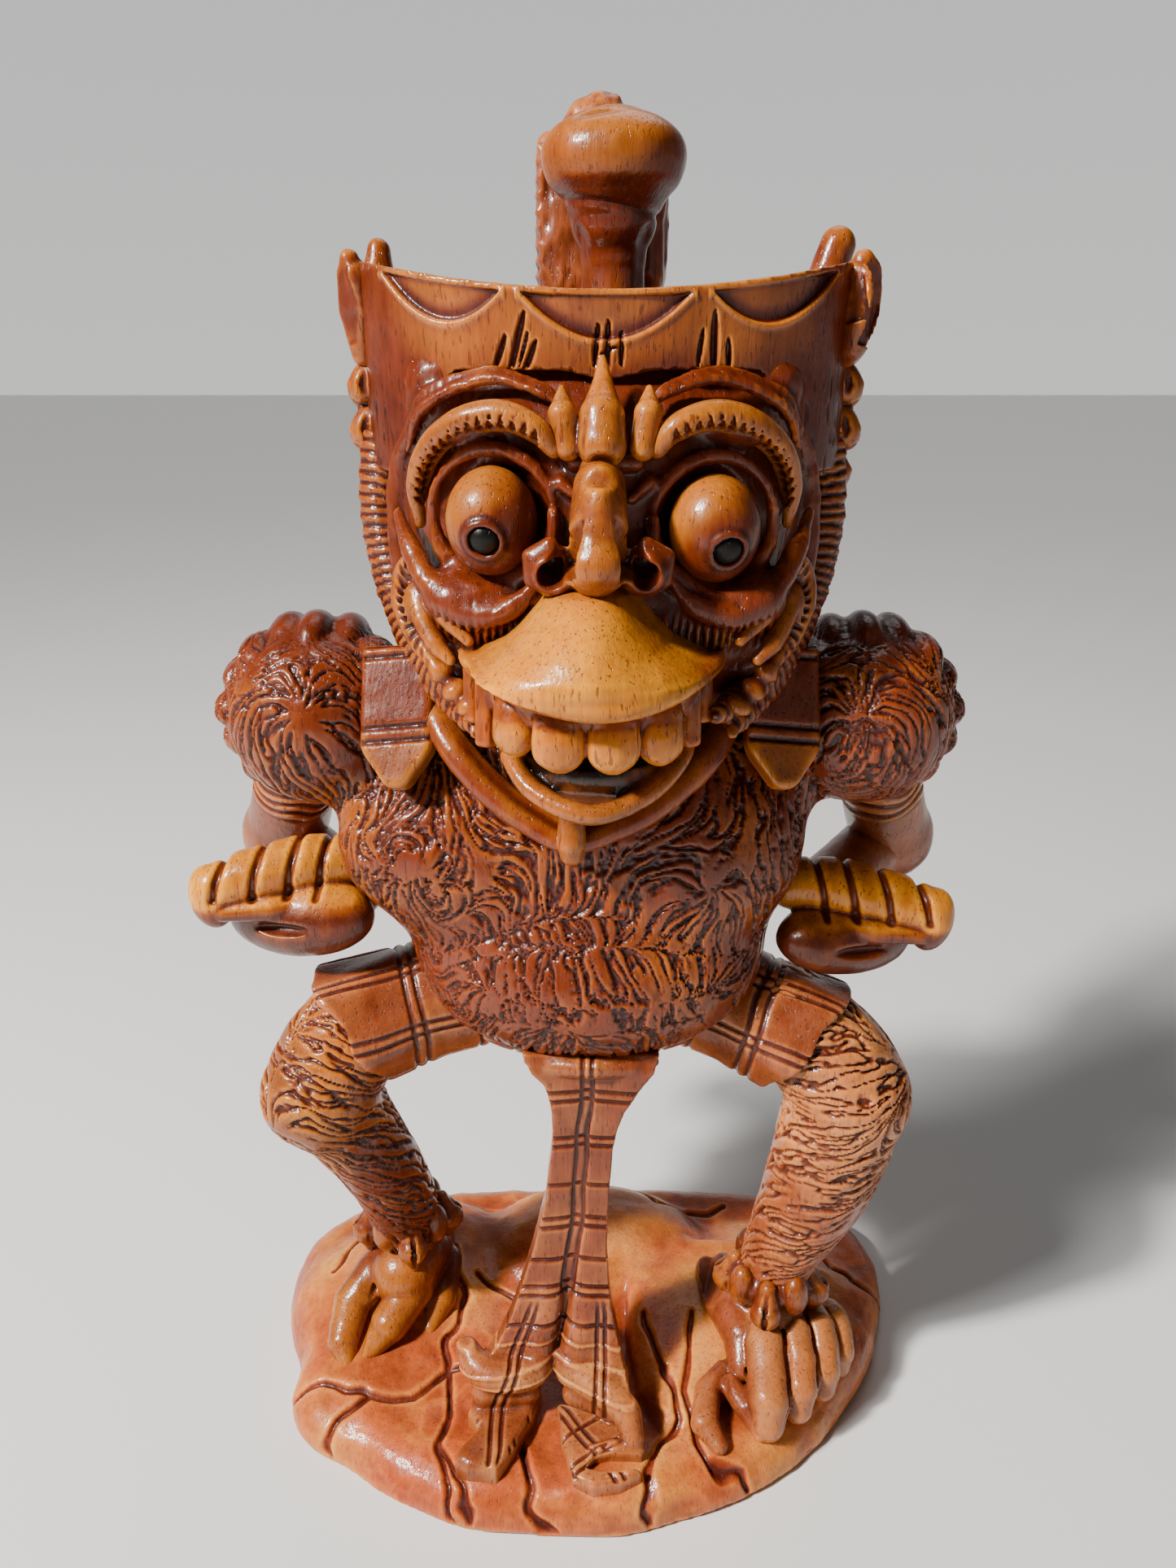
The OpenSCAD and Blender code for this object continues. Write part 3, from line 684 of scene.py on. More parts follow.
# ---------------------------------------------------------------- body
def make_body():
    """Furry trunk with both shoulders, each edged by a lobed roll of hair."""
    f = Field((-84, -36, 96), (84, 32, 204), 0.85)
    f.add(ell((-1, -1, 162), (51.5, 25, 23)))
    f.add(ell((-1, -4, 143), (45, 25, 26)), 10)
    f.add(ell((0.5, -8, 121.5), (36.5, 25, 20)), 12)
    for s in (-1, 1):
        f.add(ell((s * 58 + 0.5, -6, 178), (18.5, 17.5, 18.5)), 7)
        f.add(ell((s * 28 - 4, -14, 152), (20, 13, 15)), 10)
        # lobed roll of hair round the outside of the shoulder
        for k in range(9):
            a = math.radians(-40 + 22 * k)
            f.add(ell((s * (58 + 17.5 * math.cos(a)) + 0.5, -2 + 2.5 * math.sin(3 * k), 178
                       + 17.5 * math.sin(a)), (4.6, 8.5, 4.0), rot(0, s * math.degrees(a), 0)), 1.2)
    f.add(cap((1, 5, 176), (1, 6, 200), 19, 18), 6)
    b = skin("torso_and_shoulders", f, 1)
    wh = [(-34, -27, 152, 0.5), (24, -27, 148, -0.4), (-2.5, -32, 118.6, 0.3), (-57, -23, 183, 0.2),
          (55, -23, 183, -0.2), (-24, 24, 150, 0.3), (24, 24, 150, -0.3), (0, 20, 122, 0.2),
          (-70, 6, 186, 0.0), (70, 6, 186, 0.0)]
    fl = whorl_flow(wh, far=0.0009, wave=0.42, wave_mm=3.0)
    s = streaks(b.v, b.n, fl, 1.05, 6.0, 11)
    fur = sstep(198, 190, b.v[:, 2])
    s *= fur
    b.push(0.45 * s + 0.35 * fbm(b.v, 9.0) - 0.12)
    b.relief = 0.42 * s - 0.15
    b.tone = -0.05 + 0.3 * fbm(b.v, 16.0, 2, 3.0) + 0.2 * np.maximum(s, 0)
    b.finish(BROWN, "wood_brown", "torso", 0.5, nodes=["torso", "shoulder_left", "shoulder_right"])


# ---------------------------------------------------------------- head
HX = 3.0
EYES = {-1: np.array([-17.3, -32.0, 222.3]), 1: np.array([22.8, -32.0, 221.0])}


def sx(s, pts, mid=HX):
    """Points given as (distance from the centre line, y, z) put on side s."""
    return [(mid + s * p[0], p[1], p[2]) for p in pts]


def nick(f, path, every, toward, r_deep, r_tip, reach, start):
    """Row of little gouge cuts across a path; toward(p) is the way each one runs."""
    seg = np.linalg.norm(np.diff(path, axis=0), axis=1)
    run = np.concatenate([[0], np.cumsum(seg)])
    for t in np.arange(every * 0.5, run[-1], every):
        p = np.array([np.interp(t, run, path[:, i]) for i in range(3)])
        v = toward(p)
        v = v / np.linalg.norm(v)
        f.cut(cap(p + v * start, p + v * (start + reach), r_tip, r_deep))


def make_head():
    """Skull, cheeks, eye sockets, lids, face rolls and the hair at the back."""
    f = Field((-49, -48, 172), (55, 36, 258), 0.7)
    f.add(ell((HX, -3, 224), (41, 31, 30)))
    f.add(ell((HX, -8, 198), (35.5, 27, 21)), 14)
    f.add(box((HX, 2, 243), (38, 22, 10), rnd=8), 5)
    f.add(ell((HX, 14, 205), (31, 18, 24)), 8)
    for s in (-1, 1):
        e = EYES[s]
        # brow shelf, cheek and the swelling beside the bill
        f.add(ell((HX + s * 19, -24, 238.5), (14.0, 5.5, 3.5), rot(0, s * 8, s * -20)), 3)
        f.add(ell((HX + s * 22, -27, 207.5), (12.5, 8.5, 7), rot(0, 0, s * -22)), 5)
        f.add(ell((HX + s * 30, -20, 200), (8, 8, 8)), 5)
        # deep round eye socket
        f.cut(ell(e + (0, -3.5, 0.3), (10.6, 12.5, 11.3)), 1.6)
    for s in (-1, 1):
        e = EYES[s]
        inn = -s

        def ring(rx, rz, a0, a1, y_in, y_out, n=16):
            out = []
            for a in np.radians(np.linspace(a0, a1, n)):
                c = math.cos(a)
                out.append((e[0] + inn * rx * c, e[1] + (y_in * (1 + c) + y_out * (1 - c)) / 2,
                            e[2] + rz * math.sin(a)))
            return out
        # rolled lower lid, thick at the bottom, and the thinner upper lid
        f.add(chain(ring(11.2, 11.8, -205, 8, -2.2, 5.5), ramp([1.0, 1.7, 2.3, 2.6, 2.2, 1.2], 16)), 1.0)
        f.add(chain(ring(11.6, 12.2, 18, 168, -1.5, 4.5), ramp([1.0, 1.5, 1.6, 1.3, 0.9], 16)), 0.8)
        p = smooth_path(sx(s, [(39.0, -19, 222), (36.0, -25, 216), (31.5, -30.5, 210),
                               (24.2, -34.2, 205.6), (16.5, -36.4, 207.4), (11.6, -37.2, 212.6)]))
        f.add(chain(p, ramp([1.2, 2.2, 2.7, 3.0, 2.3, 1.0], len(p))), 0.9)
        # smooth roll that frames the face from the temple to the jaw
        p = smooth_path(sx(s, [(35, -17, 239), (39.3, -12.5, 230), (40.2, -12, 218), (38.5, -14, 206),
                               (33.5, -19.5, 196), (27, -26, 190)]))
        f.add(chain(p, ramp([1.6, 2.2, 2.6, 2.6, 2.4, 1.6], len(p))), 0.9)
        # two raised lines above the brow
        for k, (dz, r) in enumerate(((0.0, 1.3), (3.0, 1.0))):
            p = smooth_path(sx(s, [(37, -17 + k, 233 + dz), (33, -21 + k, 241 + dz * 0.8),
                                   (21, -25.5 + k, 246.0 + dz * 0.5), (11, -29 + k, 243.6 + dz * 0.5),
                                   (7.5, -31 + k, 240.5 + dz * 0.4)]))
            f.add(chain(p, ramp([0.6, r, r, r * 0.8, 0.5], len(p))), 0.7)
    # knot of wrinkles over the nose, and the open mouth
    f.add(cap((HX - 5.5, -34, 232.3), (HX + 5.5, -34, 232.3), 1.6, 1.6), 1.0)
    f.add(cap((HX - 8, -33.5, 229), (HX - 4.5, -35, 226), 1.3, 0.9), 1.0)
    f.add(cap((HX + 8, -33.5, 229), (HX + 4.5, -35, 226), 1.3, 0.9), 1.0)
    f.cut(ell((HX, -38, 185.5), (21, 17, 9.5)), 1.5)
    f.cut(box((HX, -44, 181), (24, 10, 8), rnd=3), 1)
    h = skin("head_core", f, 1)
    v, n = h.v, h.n
    x = np.abs(v[:, 0] - HX)
    front = sstep(0.05, 0.35, -n[:, 1])
    # short upright cuts on the cheek under the lids
    band = np.exp(-((v[:, 2] - (200.8 + 0.02 * (x - 20) ** 2)) / 2.1) ** 2) * sstep(9, 12, x) \
        * sstep(33, 29, x) * front
    cuts = np.tanh(3.0 * (np.sin(x * 4.1 + 1.5 * vnoise(v, 3.0)) + 0.6 * vnoise(v, (0.7, 0.7, 3.0))))
    # hair combed back over the skull and the sides
    back = sstep(-12, -4, v[:, 1]) * sstep(246, 240, v[:, 2])
    fl = whorl_flow([(HX, 20, 262, 0.0)], drift=(0, 0.2, -1), far=0.02, wave=0.45, wave_mm=5.0)
    s_ = streaks(v, n, fl, 1.2, 6.0, 6) * back
    facet = facets(v, 5.5, 1.0) * (1 - back)
    h.push(0.42 * band * cuts - 0.42 * facet + 0.4 * s_
           - 0.25 * (1 - back) * np.maximum(vnoise(v, (1.1, 1.1, 3.2), 4.0), 0.3))
    h.relief = 0.8 * band * cuts + 0.4 * s_ - 0.15 * facet
    h.tone = 0.12 + 0.2 * fbm(v, 18.0, 2, 3.0) - 0.25 * sstep(195, 186, v[:, 2])
    h.finish(BROWN, "wood_brown", "head", 1.0, nodes=["head"])


def make_brow(s):
    """Golden arch with a saw-tooth fringe cut in its lower face."""
    f = side_field(s, (2, 44), (-46, -14), (214, 250), 0.4, HX)
    p = smooth_path(sx(s, [(34.4, -22.5, 220.5), (34.6, -24.5, 227.5), (31.4, -28.6, 234.4),
                           (25.4, -32.6, 238.9), (18.5, -35.2, 240.4), (12.4, -36.6, 238.4),
                           (9, -36.4, 234.6)]), 10)
    r = ramp([1.1, 1.9, 2.3, 2.6, 2.6, 2.3, 1.4], len(p))
    f.add(chain(p, r))
    f.add(chain(p + np.array([0, 4.5, -0.4]), [q * 1.05 for q in r]), 1.2)
    e = EYES[s]
    # saw-tooth fringe in the lower front of the arch
    run = np.concatenate([[0], np.cumsum(np.linalg.norm(np.diff(p, axis=0), axis=1))])
    for t in np.arange(5.0, run[-1] - 3.0, 2.15):
        q = np.array([np.interp(t, run, p[:, i]) for i in range(3)])
        rr = np.interp(t, run, r) + 0.15
        down = np.array([(e[0] - q[0]) * 0.5, 0.0, e[2] - q[2]])
        down /= np.linalg.norm(down)
        lo_, hi_ = math.radians(75), math.radians(-12)
        top = q + rr * (down * math.sin(hi_) + np.array([0, -math.cos(hi_), 0]))
        bot = q + rr * (down * math.sin(lo_) + np.array([0, -math.cos(lo_), 0]))
        f.cut(cap(top, bot + (0, -0.2, 0), 0.12, 1.0), 0.1)
        f.cut(cap(bot + (0, 0.3, 0), bot + (0, 3.0, 0), 1.0, 0.9), 0.1)
    b = skin("brow_" + SIDE[s], f)
    knife(b, 0.12, 4.0, 0.5, 0.2, 8.0)
    # painted light: upward faces of the arch made lighter
    b.tone = b.tone + 0.35 * sstep(-0.2, 0.6, b.n[:, 2])
    b.finish(BROWN, "wood_brown", "head", 1.2, 5)


def make_nose():
    """Bridge with a blunt tip between two deep nostrils."""
    f = Field((HX - 19, -56, 205), (HX + 17, -28, 240), 0.42)
    f.add(chain([(HX - 1, -35.5, 233), (HX - 1, -38.5, 228.5), (HX - 1.2, -42.6, 221),
                 (HX - 1.6, -44.4, 215.8)], [3.0, 4.6, 5.2, 5.2]))
    f.add(ell((HX - 1.2, -46.3, 216.6), (4.6, 3.6, 3.6)), 2.0)
    f.add(ell((HX - 1.1, -42, 225.5), (3.2, 5.0, 6.5)), 2.5)
    for s in (-1, 1):
        c = (HX - 1.2 + s * 7.9, -40.8, 214.6)
        f.add(ell(c, (4.7, 5.2, 4.6)), 1.8)
        f.add(chain([(c[0] + s * 3.6, -41, 213.2), (c[0] + s * 3.8, -41, 217),
                     (c[0] + s * 0.5, -41.5, 219.3)], [1.6, 1.7, 1.4]), 1.0)
        f.cut(cap((c[0] + s * 0.4, -49, 212.8), (c[0] + s * 0.2, -40, 215.8), 2.7, 2.0), 0.8)
        f.cut(chain([(HX - 1.2 + s * 4.7, -50, 211), (HX - 1.2 + s * 4.6, -47, 217),
                     (HX - 1.2 + s * 4.9, -42, 221)], [0.8, 0.7, 0.4]), 0.6)
        # planes left by the knife along the bridge
        f.cut(box((HX - 1.2 + s * 6.6, -47.0, 223.5), (3, 3, 10), rot(26, 0, s * 34), 0.3), 0.3)
    f.cut(cap((HX - 7, -45.2, 231.6), (HX + 5, -45.2, 231.6), 2.4, 2.4), 0.9)
    b = skin("nose", f, 0)
    knife(b, 0.16, 4.0, 0.45, 0.25, 9.0)
    # painted light on the upward faces of the tip; darker towards the sides
    b.tone = b.tone + 0.3 * sstep(0.1, 0.8, b.n[:, 2]) * sstep(214, 219, b.v[:, 2]) \
        - 0.6 * sstep(5.0, 7.5, np.abs(b.v[:, 0] - HX + 1.2))
    b.finish(BROWN, "wood_brown", "head", 1.2, 5)


def make_petals():
    """Three pointed petals over the nose."""
    f = Field((HX - 13, -44, 229), (HX + 13, -24, 253), 0.38)
    f.add(chain([(HX - 0.5, -29.5, 249.5), (HX - 0.5, -32.5, 245), (HX - 0.6, -36, 240),
                 (HX - 0.6, -37.5, 235.6)], [0.7, 2.0, 4.0, 4.3]))
    f.cut(ell((HX - 0.6, -42.3, 232.4), (3.6, 3.4, 2.0)), 0.6)
    f.cut(box((HX - 0.6, -36, 229), (9, 9, 2.6), rnd=0.6), 0.4)
    for s in (-1, 1):
        f.add(chain(sx(s, [(7.6, -32, 244.6), (7.4, -35, 240.5), (6.4, -36.3, 235)]), [0.7, 2.6, 2.3]), 0.4)
        f.cut(chain(sx(s, [(5.9, -38.7, 243), (5.6, -39.4, 234)]), [0.5, 0.9]), 0.3)
        f.cut(chain(sx(s, [(3.6, -38.5, 245), (4.5, -41, 233)]), [0.5, 0.8]), 0.4)
    b = skin("forehead_petals", f)
    knife(b, 0.12, 3.5, 0.62, 0.25, 7.0)
    # painted light: upward faces of the petals made lighter
    b.tone = b.tone + 0.2 * sstep(0, 0.6, b.n[:, 2])
    b.finish(BROWN, "wood_brown", "head", 1.2, 5)


def make_curl(s):
    """Leaf-like curl on the cheek: notched rim, smooth inner tongue, lobes at the mouth corner."""
    f = side_field(s, (16, 47), (-46, -8), (186, 234), 0.45, HX)
    rim = smooth_path(sx(s, [(31.5, -30.5, 194.5), (35.4, -26.5, 199), (38.2, -23.5, 205),
                             (38.0, -22.5, 210.5), (35.6, -25, 213.4), (33.0, -28.5, 210.4),
                             (29.6, -32.0, 205.0), (25.0, -34.4, 200.6)]), 8)
    f.add(chain(rim, ramp([1.3, 2.2, 2.4, 2.3, 2.2, 2.1, 2.0, 1.2], len(rim))))
    tongue = smooth_path(sx(s, [(35.4, -25.5, 207.5), (34.0, -28.5, 203.5), (31.5, -31.0, 199.4),
                                (28.6, -33, 196.6)]), 6)
    f.add(chain(tongue, ramp([1.4, 2.1, 2.1, 1.2], len(tongue))), 0.7)
    f.add(ell((HX + s * 33.0, -24, 203.5), (5.2, 5.0, 7.5), rot(0, s * 24, 0)), 1.0)
    mid = np.array([HX + s * 33.4, -25, 203.0])
    nick(f, rim[3:-4] + np.array([0, -2.3, 0]), 1.75,
         lambda q: (q - mid) * np.array([1, 0, 1]) * -1 + np.array([0, -0.1, 0]), 0.5, 0.42, 3.4, -1.9)
    # lobes stepping round the corner of the mouth
    for k, (a, b_, c) in enumerate(((30.8, -29.5, 193.6), (28.2, -31.6, 190.6), (25.4, -33.6, 188.2))):
        f.add(ell((HX + s * a, b_, c), (2.8, 2.6, 2.0), rot(0, s * 34, s * -20)), 1.4)
    b = skin("cheek_curl_" + SIDE[s], f)
    b.push(-0.16 * facets(b.v, 3.5) - 0.1)
    # painted light: faces turned to the front made lighter
    b.tone = 0.3 + 0.25 * fbm(b.v, 7.0, 2) + 0.25 * sstep(0.3, 0.9, -b.n[:, 1])
    b.finish(BROWN, "wood_brown", "head", 1.2, 5)


def make_hair(s):
    """Saw-edged fringe from the crown down the side of the face and under the jaw."""
    f = side_field(s, (14, 52), (-44, 18), (178, 248), 0.55, HX)
    p = smooth_path(sx(s, [(42.5, 2, 243), (44, -1, 232), (44.3, -3.5, 219), (41.5, -8, 206),
                           (37, -14.5, 196.5), (31, -22, 190.5), (24.5, -30.5, 187.3), (21, -36, 187)]), 9)
    f.add(chain(p, ramp([3.4, 4.4, 4.6, 4.4, 4.2, 3.8, 3.0, 1.8], len(p))))
    # overlapping teeth along the outer edge
    seg = np.concatenate([[0], np.cumsum(np.linalg.norm(np.diff(p, axis=0), axis=1))])
    for k, t in enumerate(np.arange(3, seg[-1] - 3, 4.1)):
        q = np.array([np.interp(t, seg, p[:, i]) for i in range(3)])
        g = np.array([np.interp(t + 1, seg, p[:, i]) for i in range(3)]) - q
        out = np.array([s * 1.0, -0.25, 0.1]) if q[2] > 203 else np.array([s * 0.5, -0.35, -1.0])
        a = q + out * 2.4
        f.add(cap(a - g * 1.6, a + g * 1.2 + out * 1.6, 2.4, 1.0), 0.4)
        f.cut(cap(a + g * 2.2 - out * 0.5, a + g * 2.2 + out * 4.0 + np.array([0, -1.0, 0]), 0.35, 0.75), 0.2)
    b = skin("hair_" + SIDE[s], f)
    # slanting gouge cuts across the band
    k = ((b.v[:, None, :] - p[None].astype(F32)) ** 2).sum(2).argmin(1)
    tg = np.gradient(p, axis=0)
    tg /= np.linalg.norm(tg, axis=1)[:, None]
    off = b.v - p[k]
    run = seg[k] + (off * tg[k]).sum(1)
    g = sstep(0.1, 0.9, np.sin(run * 3.1 + 0.55 * s * off[:, 0] + 0.8 * vnoise(b.v, 3.0))) \
        * sstep(-0.1, 0.3, -b.n[:, 1])
    b.push(-0.62 * g - 0.2 * facets(b.v, 4.0) + 0.1 * vnoise(b.v, (1.2, 1.2, 3)))
    b.relief = -0.7 * g
    b.tone = 0.1 + 0.25 * fbm(b.v, 9.0, 2)
    b.finish(BROWN, "wood_brown", "head", 1.1, 5)


def make_eye(s):
    """Bulging eyeball with a ring round its inlaid pupil."""
    nm = SIDE[s]
    c = centre("eyeball_" + nm)
    pc = centre("pupil_" + nm)
    f = Field(c - 10.5, c + 10.5, 0.42)
    f.add(ell(c - (0, 0, 0.3), (8.3, 8.6, 9.7)))
    ax = pc - c
    ax /= np.linalg.norm(ax)
    # the turned ring round the inlaid pupil
    t = np.linspace(0, 2 * np.pi, 25)
    u = np.cross(ax, [0, 0, 1.0])
    u /= np.linalg.norm(u)
    w = np.cross(u, ax)
    rim = [c + ax * 7.85 + (u * math.cos(a) + w * math.sin(a)) * 3.2 for a in t]
    f.add(chain(rim, 0.7), 0.5)
    f.cut(cap(c + ax * 8.2, c + ax * 13, 2.75, 2.75), 0.2)
    b = skin("eyeball_" + nm, f)
    b.push(-0.10 * facets(b.v, 5.0))
    # painted light on the upper left of the ball and painted shade on the lower right
    b.tone = 0.05 + 1.0 * sstep(-0.2, 0.75, 0.8 * b.n[:, 2] - 0.45 * b.n[:, 0]) + 0.3 * fbm(b.v, 6.0, 2)
    near = sstep(4.9, 4.3, np.sqrt(((b.v - (c + ax * 7.8)) ** 2).sum(1)))
    b.relief = -0.4 * near
    b.tone -= 0.7 * near
    b.finish(BROWN, "wood_brown", None, 1.0, 4)
    f = Field(pc - 5, pc + 5, 0.3)
    f.add(ell(c + ax * 6.9, (2.95, 2.95, 2.3), axes(u, ax)))
    b = skin("pupil_" + nm, f)
    b.finish(BLACK, "inlay_black", None, 0.0, 2)


def make_bill():
    """Duck-like upper lip: narrow and domed under the nose, flaring to a thin drooping edge."""
    m = HX - 2.3
    zk = [186, 191, 193, 195, 197, 199, 202, 205, 208, 210.5, 212.5]
    wk = [20.5, 22.0, 23.2, 24.4, 24.2, 21.0, 15.6, 12.4, 10.0, 8.2, 4.5]
    dk = [24, 28.0, 29.3, 30.2, 30.4, 30.0, 28.0, 25.2, 21.5, 17.5, 11]

    def body(x, y, z):
        w, d = np.interp(z, zk, wk), np.interp(z, zk, dk)
        u = np.abs(x - m - 0.06 * (y + 30)) / w
        v = np.maximum(-(y + 30), 0) / d
        k = (u ** 2.3 + v ** 2.3 + 1e-6) ** (1 / 2.3)
        # a soft keel down the middle of the dome
        k = k - 0.035 * np.exp(-(x - m) ** 2 / 30.0) * sstep(194, 200, z)
        side = (k - 1) * np.minimum(w, d) * 0.8
        low = 193.2 + 0.008 * (x - m - 1.5) ** 2
        return np.maximum(np.maximum(side, low - z), z - 211.5)
    f = Field((-30, -68, 184), (33, -22, 218), 0.5)
    f.add(Prim(body, (m - 24, -62, 188), (m + 24, -26, 213)))
    f.cut(ell((m + 0.5, -40, 188.6), (19.5, 16.5, 6.2)), 1.0)
    lip = smooth_path([(m - 24.6, -31, 198.0), (m - 22.8, -36.5, 197.0), (m - 18.8, -43.5, 195.9),
                       (m - 10.8, -54.2, 194.4), (m + 1.5, -58.9, 193.8), (m + 12, -53.8, 194.4),
                       (m + 19.2, -43.5, 195.9), (m + 22.8, -36.5, 197.0), (m + 24.6, -31, 198.0)], 8)
    f.add(chain(lip, ramp([0.6, 1.3, 1.5, 1.3, 1.3, 1.3, 1.5, 1.3, 0.6], len(lip))), 2.2)
    b = skin("bill", f, 0)
    for _ in range(3):
        b.v = b.v + 0.5 * (b.avg(b.v) - b.v)
    b.push(-0.22 * facets(b.v, 8.0))
    x = np.abs(b.v[:, 0] - m)
    b.tone = 0.95 + 0.5 * fbm(b.v, 11.0, 2) - 0.8 * sstep(15, 24, x) - 0.5 * sstep(207, 212, b.v[:, 2]) \
        - 0.6 * sstep(195.4, 193.4, b.v[:, 2])
    b.finish(GOLD, "wood_burnished", "head", 0.8, 5)


def make_teeth():
    """Four broad front teeth under a gum, with blunt blocks beyond them."""
    f = Field((-25, -62, 174), (31, -28, 200), 0.42)
    m = HX - 2.9
    gum = smooth_path([(m - 18.5, -34, 193.5), (m - 15, -42, 192.9), (m - 8, -49.2, 192.5),
                       (m + 1, -51.8, 192.3), (m + 9, -49.4, 192.5), (m + 16, -42, 192.9),
                       (m + 19.5, -34, 193.5)], 8)
    f.add(chain(gum, 2.6))
    f.add(chain(gum + np.array([0, 0.8, -2.2]), 2.4), 1)
    for x, y, w, lo in ((-13.0, -45.2, 4.2, 182.9), (-5.0, -51.0, 4.95, 181.8), (4.35, -51.4, 4.9, 181.7),
                        (12.7, -47.4, 4.5, 181.9)):
        a = math.degrees(math.atan2(x - 1, 26.0))
        zc = (lo + 193.5) / 2
        R = rot(-5, 0, a)
        f.add(box((x, y, zc), (w - 0.2, 3.5, (193.5 - lo) / 2), R, 3.2), 0.2)
        f.add(ell((x, y - 0.7, zc - 1.0), (w, 3.6, (193.5 - lo) / 2 - 0.2), R), 0.4)
        # gum line over each tooth
        d = R @ np.array([0, -1.0, 0])
        f.cut(chain([np.array([x, y, 189.4]) + d * 3.0 + R[:, 0] * -3.6, np.array([x, y, 191.2]) + d * 4.4,
                     np.array([x, y, 189.4]) + d * 3.0 + R[:, 0] * 3.6], 0.4), 0.25)
    for s in (-1, 1):
        # blunt block beyond the last tooth
        f.add(box((s * 18.2, -38.6, 188.2), (1.9, 2.6, 6.4), rot(-6, s * 3, s * 34), 1.1), 0.2)
        f.add(box((s * 20.8, -33.5, 190.5), (1.7, 2.6, 5.6), rot(-6, s * 6, s * 44), 1.1), 0.2)
    for x, y in ((-9.4, -50.6), (-0.3, -56.6), (9.0, -53.4), (16.2, -44.6), (-16.4, -43.8)):
        f.cut(cap((x, y + 0.4, 193.0), (x, y + 0.6, 181), 0.35, 0.7), 0.3)
    b = skin("upper_teeth", f)
    knife(b, 0.14, 3.5, 0.48, 0.35, 5.0)
    b.tone = b.tone - 1.0 * sstep(188.6, 191.0, b.v[:, 2]) \
        - 0.7 * sstep(16, 18, np.abs(b.v[:, 0]))
    b.finish(GOLD, "wood_burnished", "head", 1.0, 5)


def make_jaw():
    """Open lower jaw with a dark pit, and the tongue in it."""
    f = Field((-24, -60, 164), (30, -16, 194), 0.48)
    out = smooth_path([(HX - 18.8, -33, 184.6), (HX - 17.6, -40, 180.2), (HX - 12.6, -46.6, 175.4),
                       (HX - 2.4, -50.6, 172.6), (HX + 8.0, -47.0, 175.4), (HX + 14.6, -40, 180.2),
                       (HX + 16.8, -33, 185)], 8)
    f.add(ell((HX - 1, -34, 178), (16.0, 14, 8.5)))
    f.add(chain(out, ramp([1.2, 1.7, 1.9, 2.0, 1.9, 1.7, 1.2], len(out))), 2.5)
    f.cut(ell((HX - 1.2, -35.5, 183.4), (14.4, 12.6, 8.8)), 0.8)
    f.cut(box((HX, -30, 192), (30, 30, 5.0), rot(14, 0, 0), 0.5), 0.4)
    b = skin("lower_jaw", f)
    b.push(-0.15 * facets(b.v, 5.0))
    pit = sstep(1.02, 0.92, np.sqrt(((b.v[:, 0] - HX + 1.2) / 14.4) ** 2 + ((b.v[:, 1] + 35.5) / 12.6) ** 2))
    pit *= sstep(-0.3, 0.1, b.n[:, 2])
    b.relief = -1.3 * pit
    b.tone = 0.75 + 0.3 * fbm(b.v, 7.0, 2) - 1.6 * pit
    b.finish(DARK, "wood_dark", "head", 1.2, 5)
    f = Field((-12, -52, 172), (18, -22, 190), 0.45)
    f.add(ell((HX - 1, -35.8, 178.4), (11.0, 10.6, 3.2), rot(8, 0, 0)))
    f.add(chain([(HX - 12, -33, 180.5), (HX - 8.5, -41.6, 178.6), (HX - 1.5, -45.6, 177.2),
                 (HX + 5.5, -41.6, 178.6), (HX + 9.6, -33, 180.5)], [1.6, 1.7, 1.6, 1.7, 1.6]), 1.2)
    f.cut(chain([(HX, -24, 183.6), (HX, -44, 182.4)], 0.6), 1.0)
    b = skin("tongue", f)
    knife(b, 0.1, 4.0, -0.7, 0.25, 7.0)
    b.finish(DARK, "wood_dark", "head", 1.0, 4)


# ---------------------------------------------------------------- crown and topknot
def line(c, at, w):
    """A groove profile: 1 on the line, fading over w."""
    return np.exp(-((c - at) / w) ** 2)


def stroke(x, z, a, b, w, taper=True):
    """Groove from a to b on the (x, z) plane, pointed at both ends."""
    a, b = np.array(a, float), np.array(b, float)
    d = b - a
    t = ((x - a[0]) * d[0] + (z - a[1]) * d[1]) / (d @ d)
    tc = np.clip(t, 0, 1)
    r = np.hypot(x - a[0] - tc * d[0], z - a[1] - tc * d[1])
    wd = w * (np.sqrt(np.clip(4 * tc * (1 - tc), 0.02, 1)) if taper else 1.0)
    return np.clip(1 - r / wd, 0, 1)


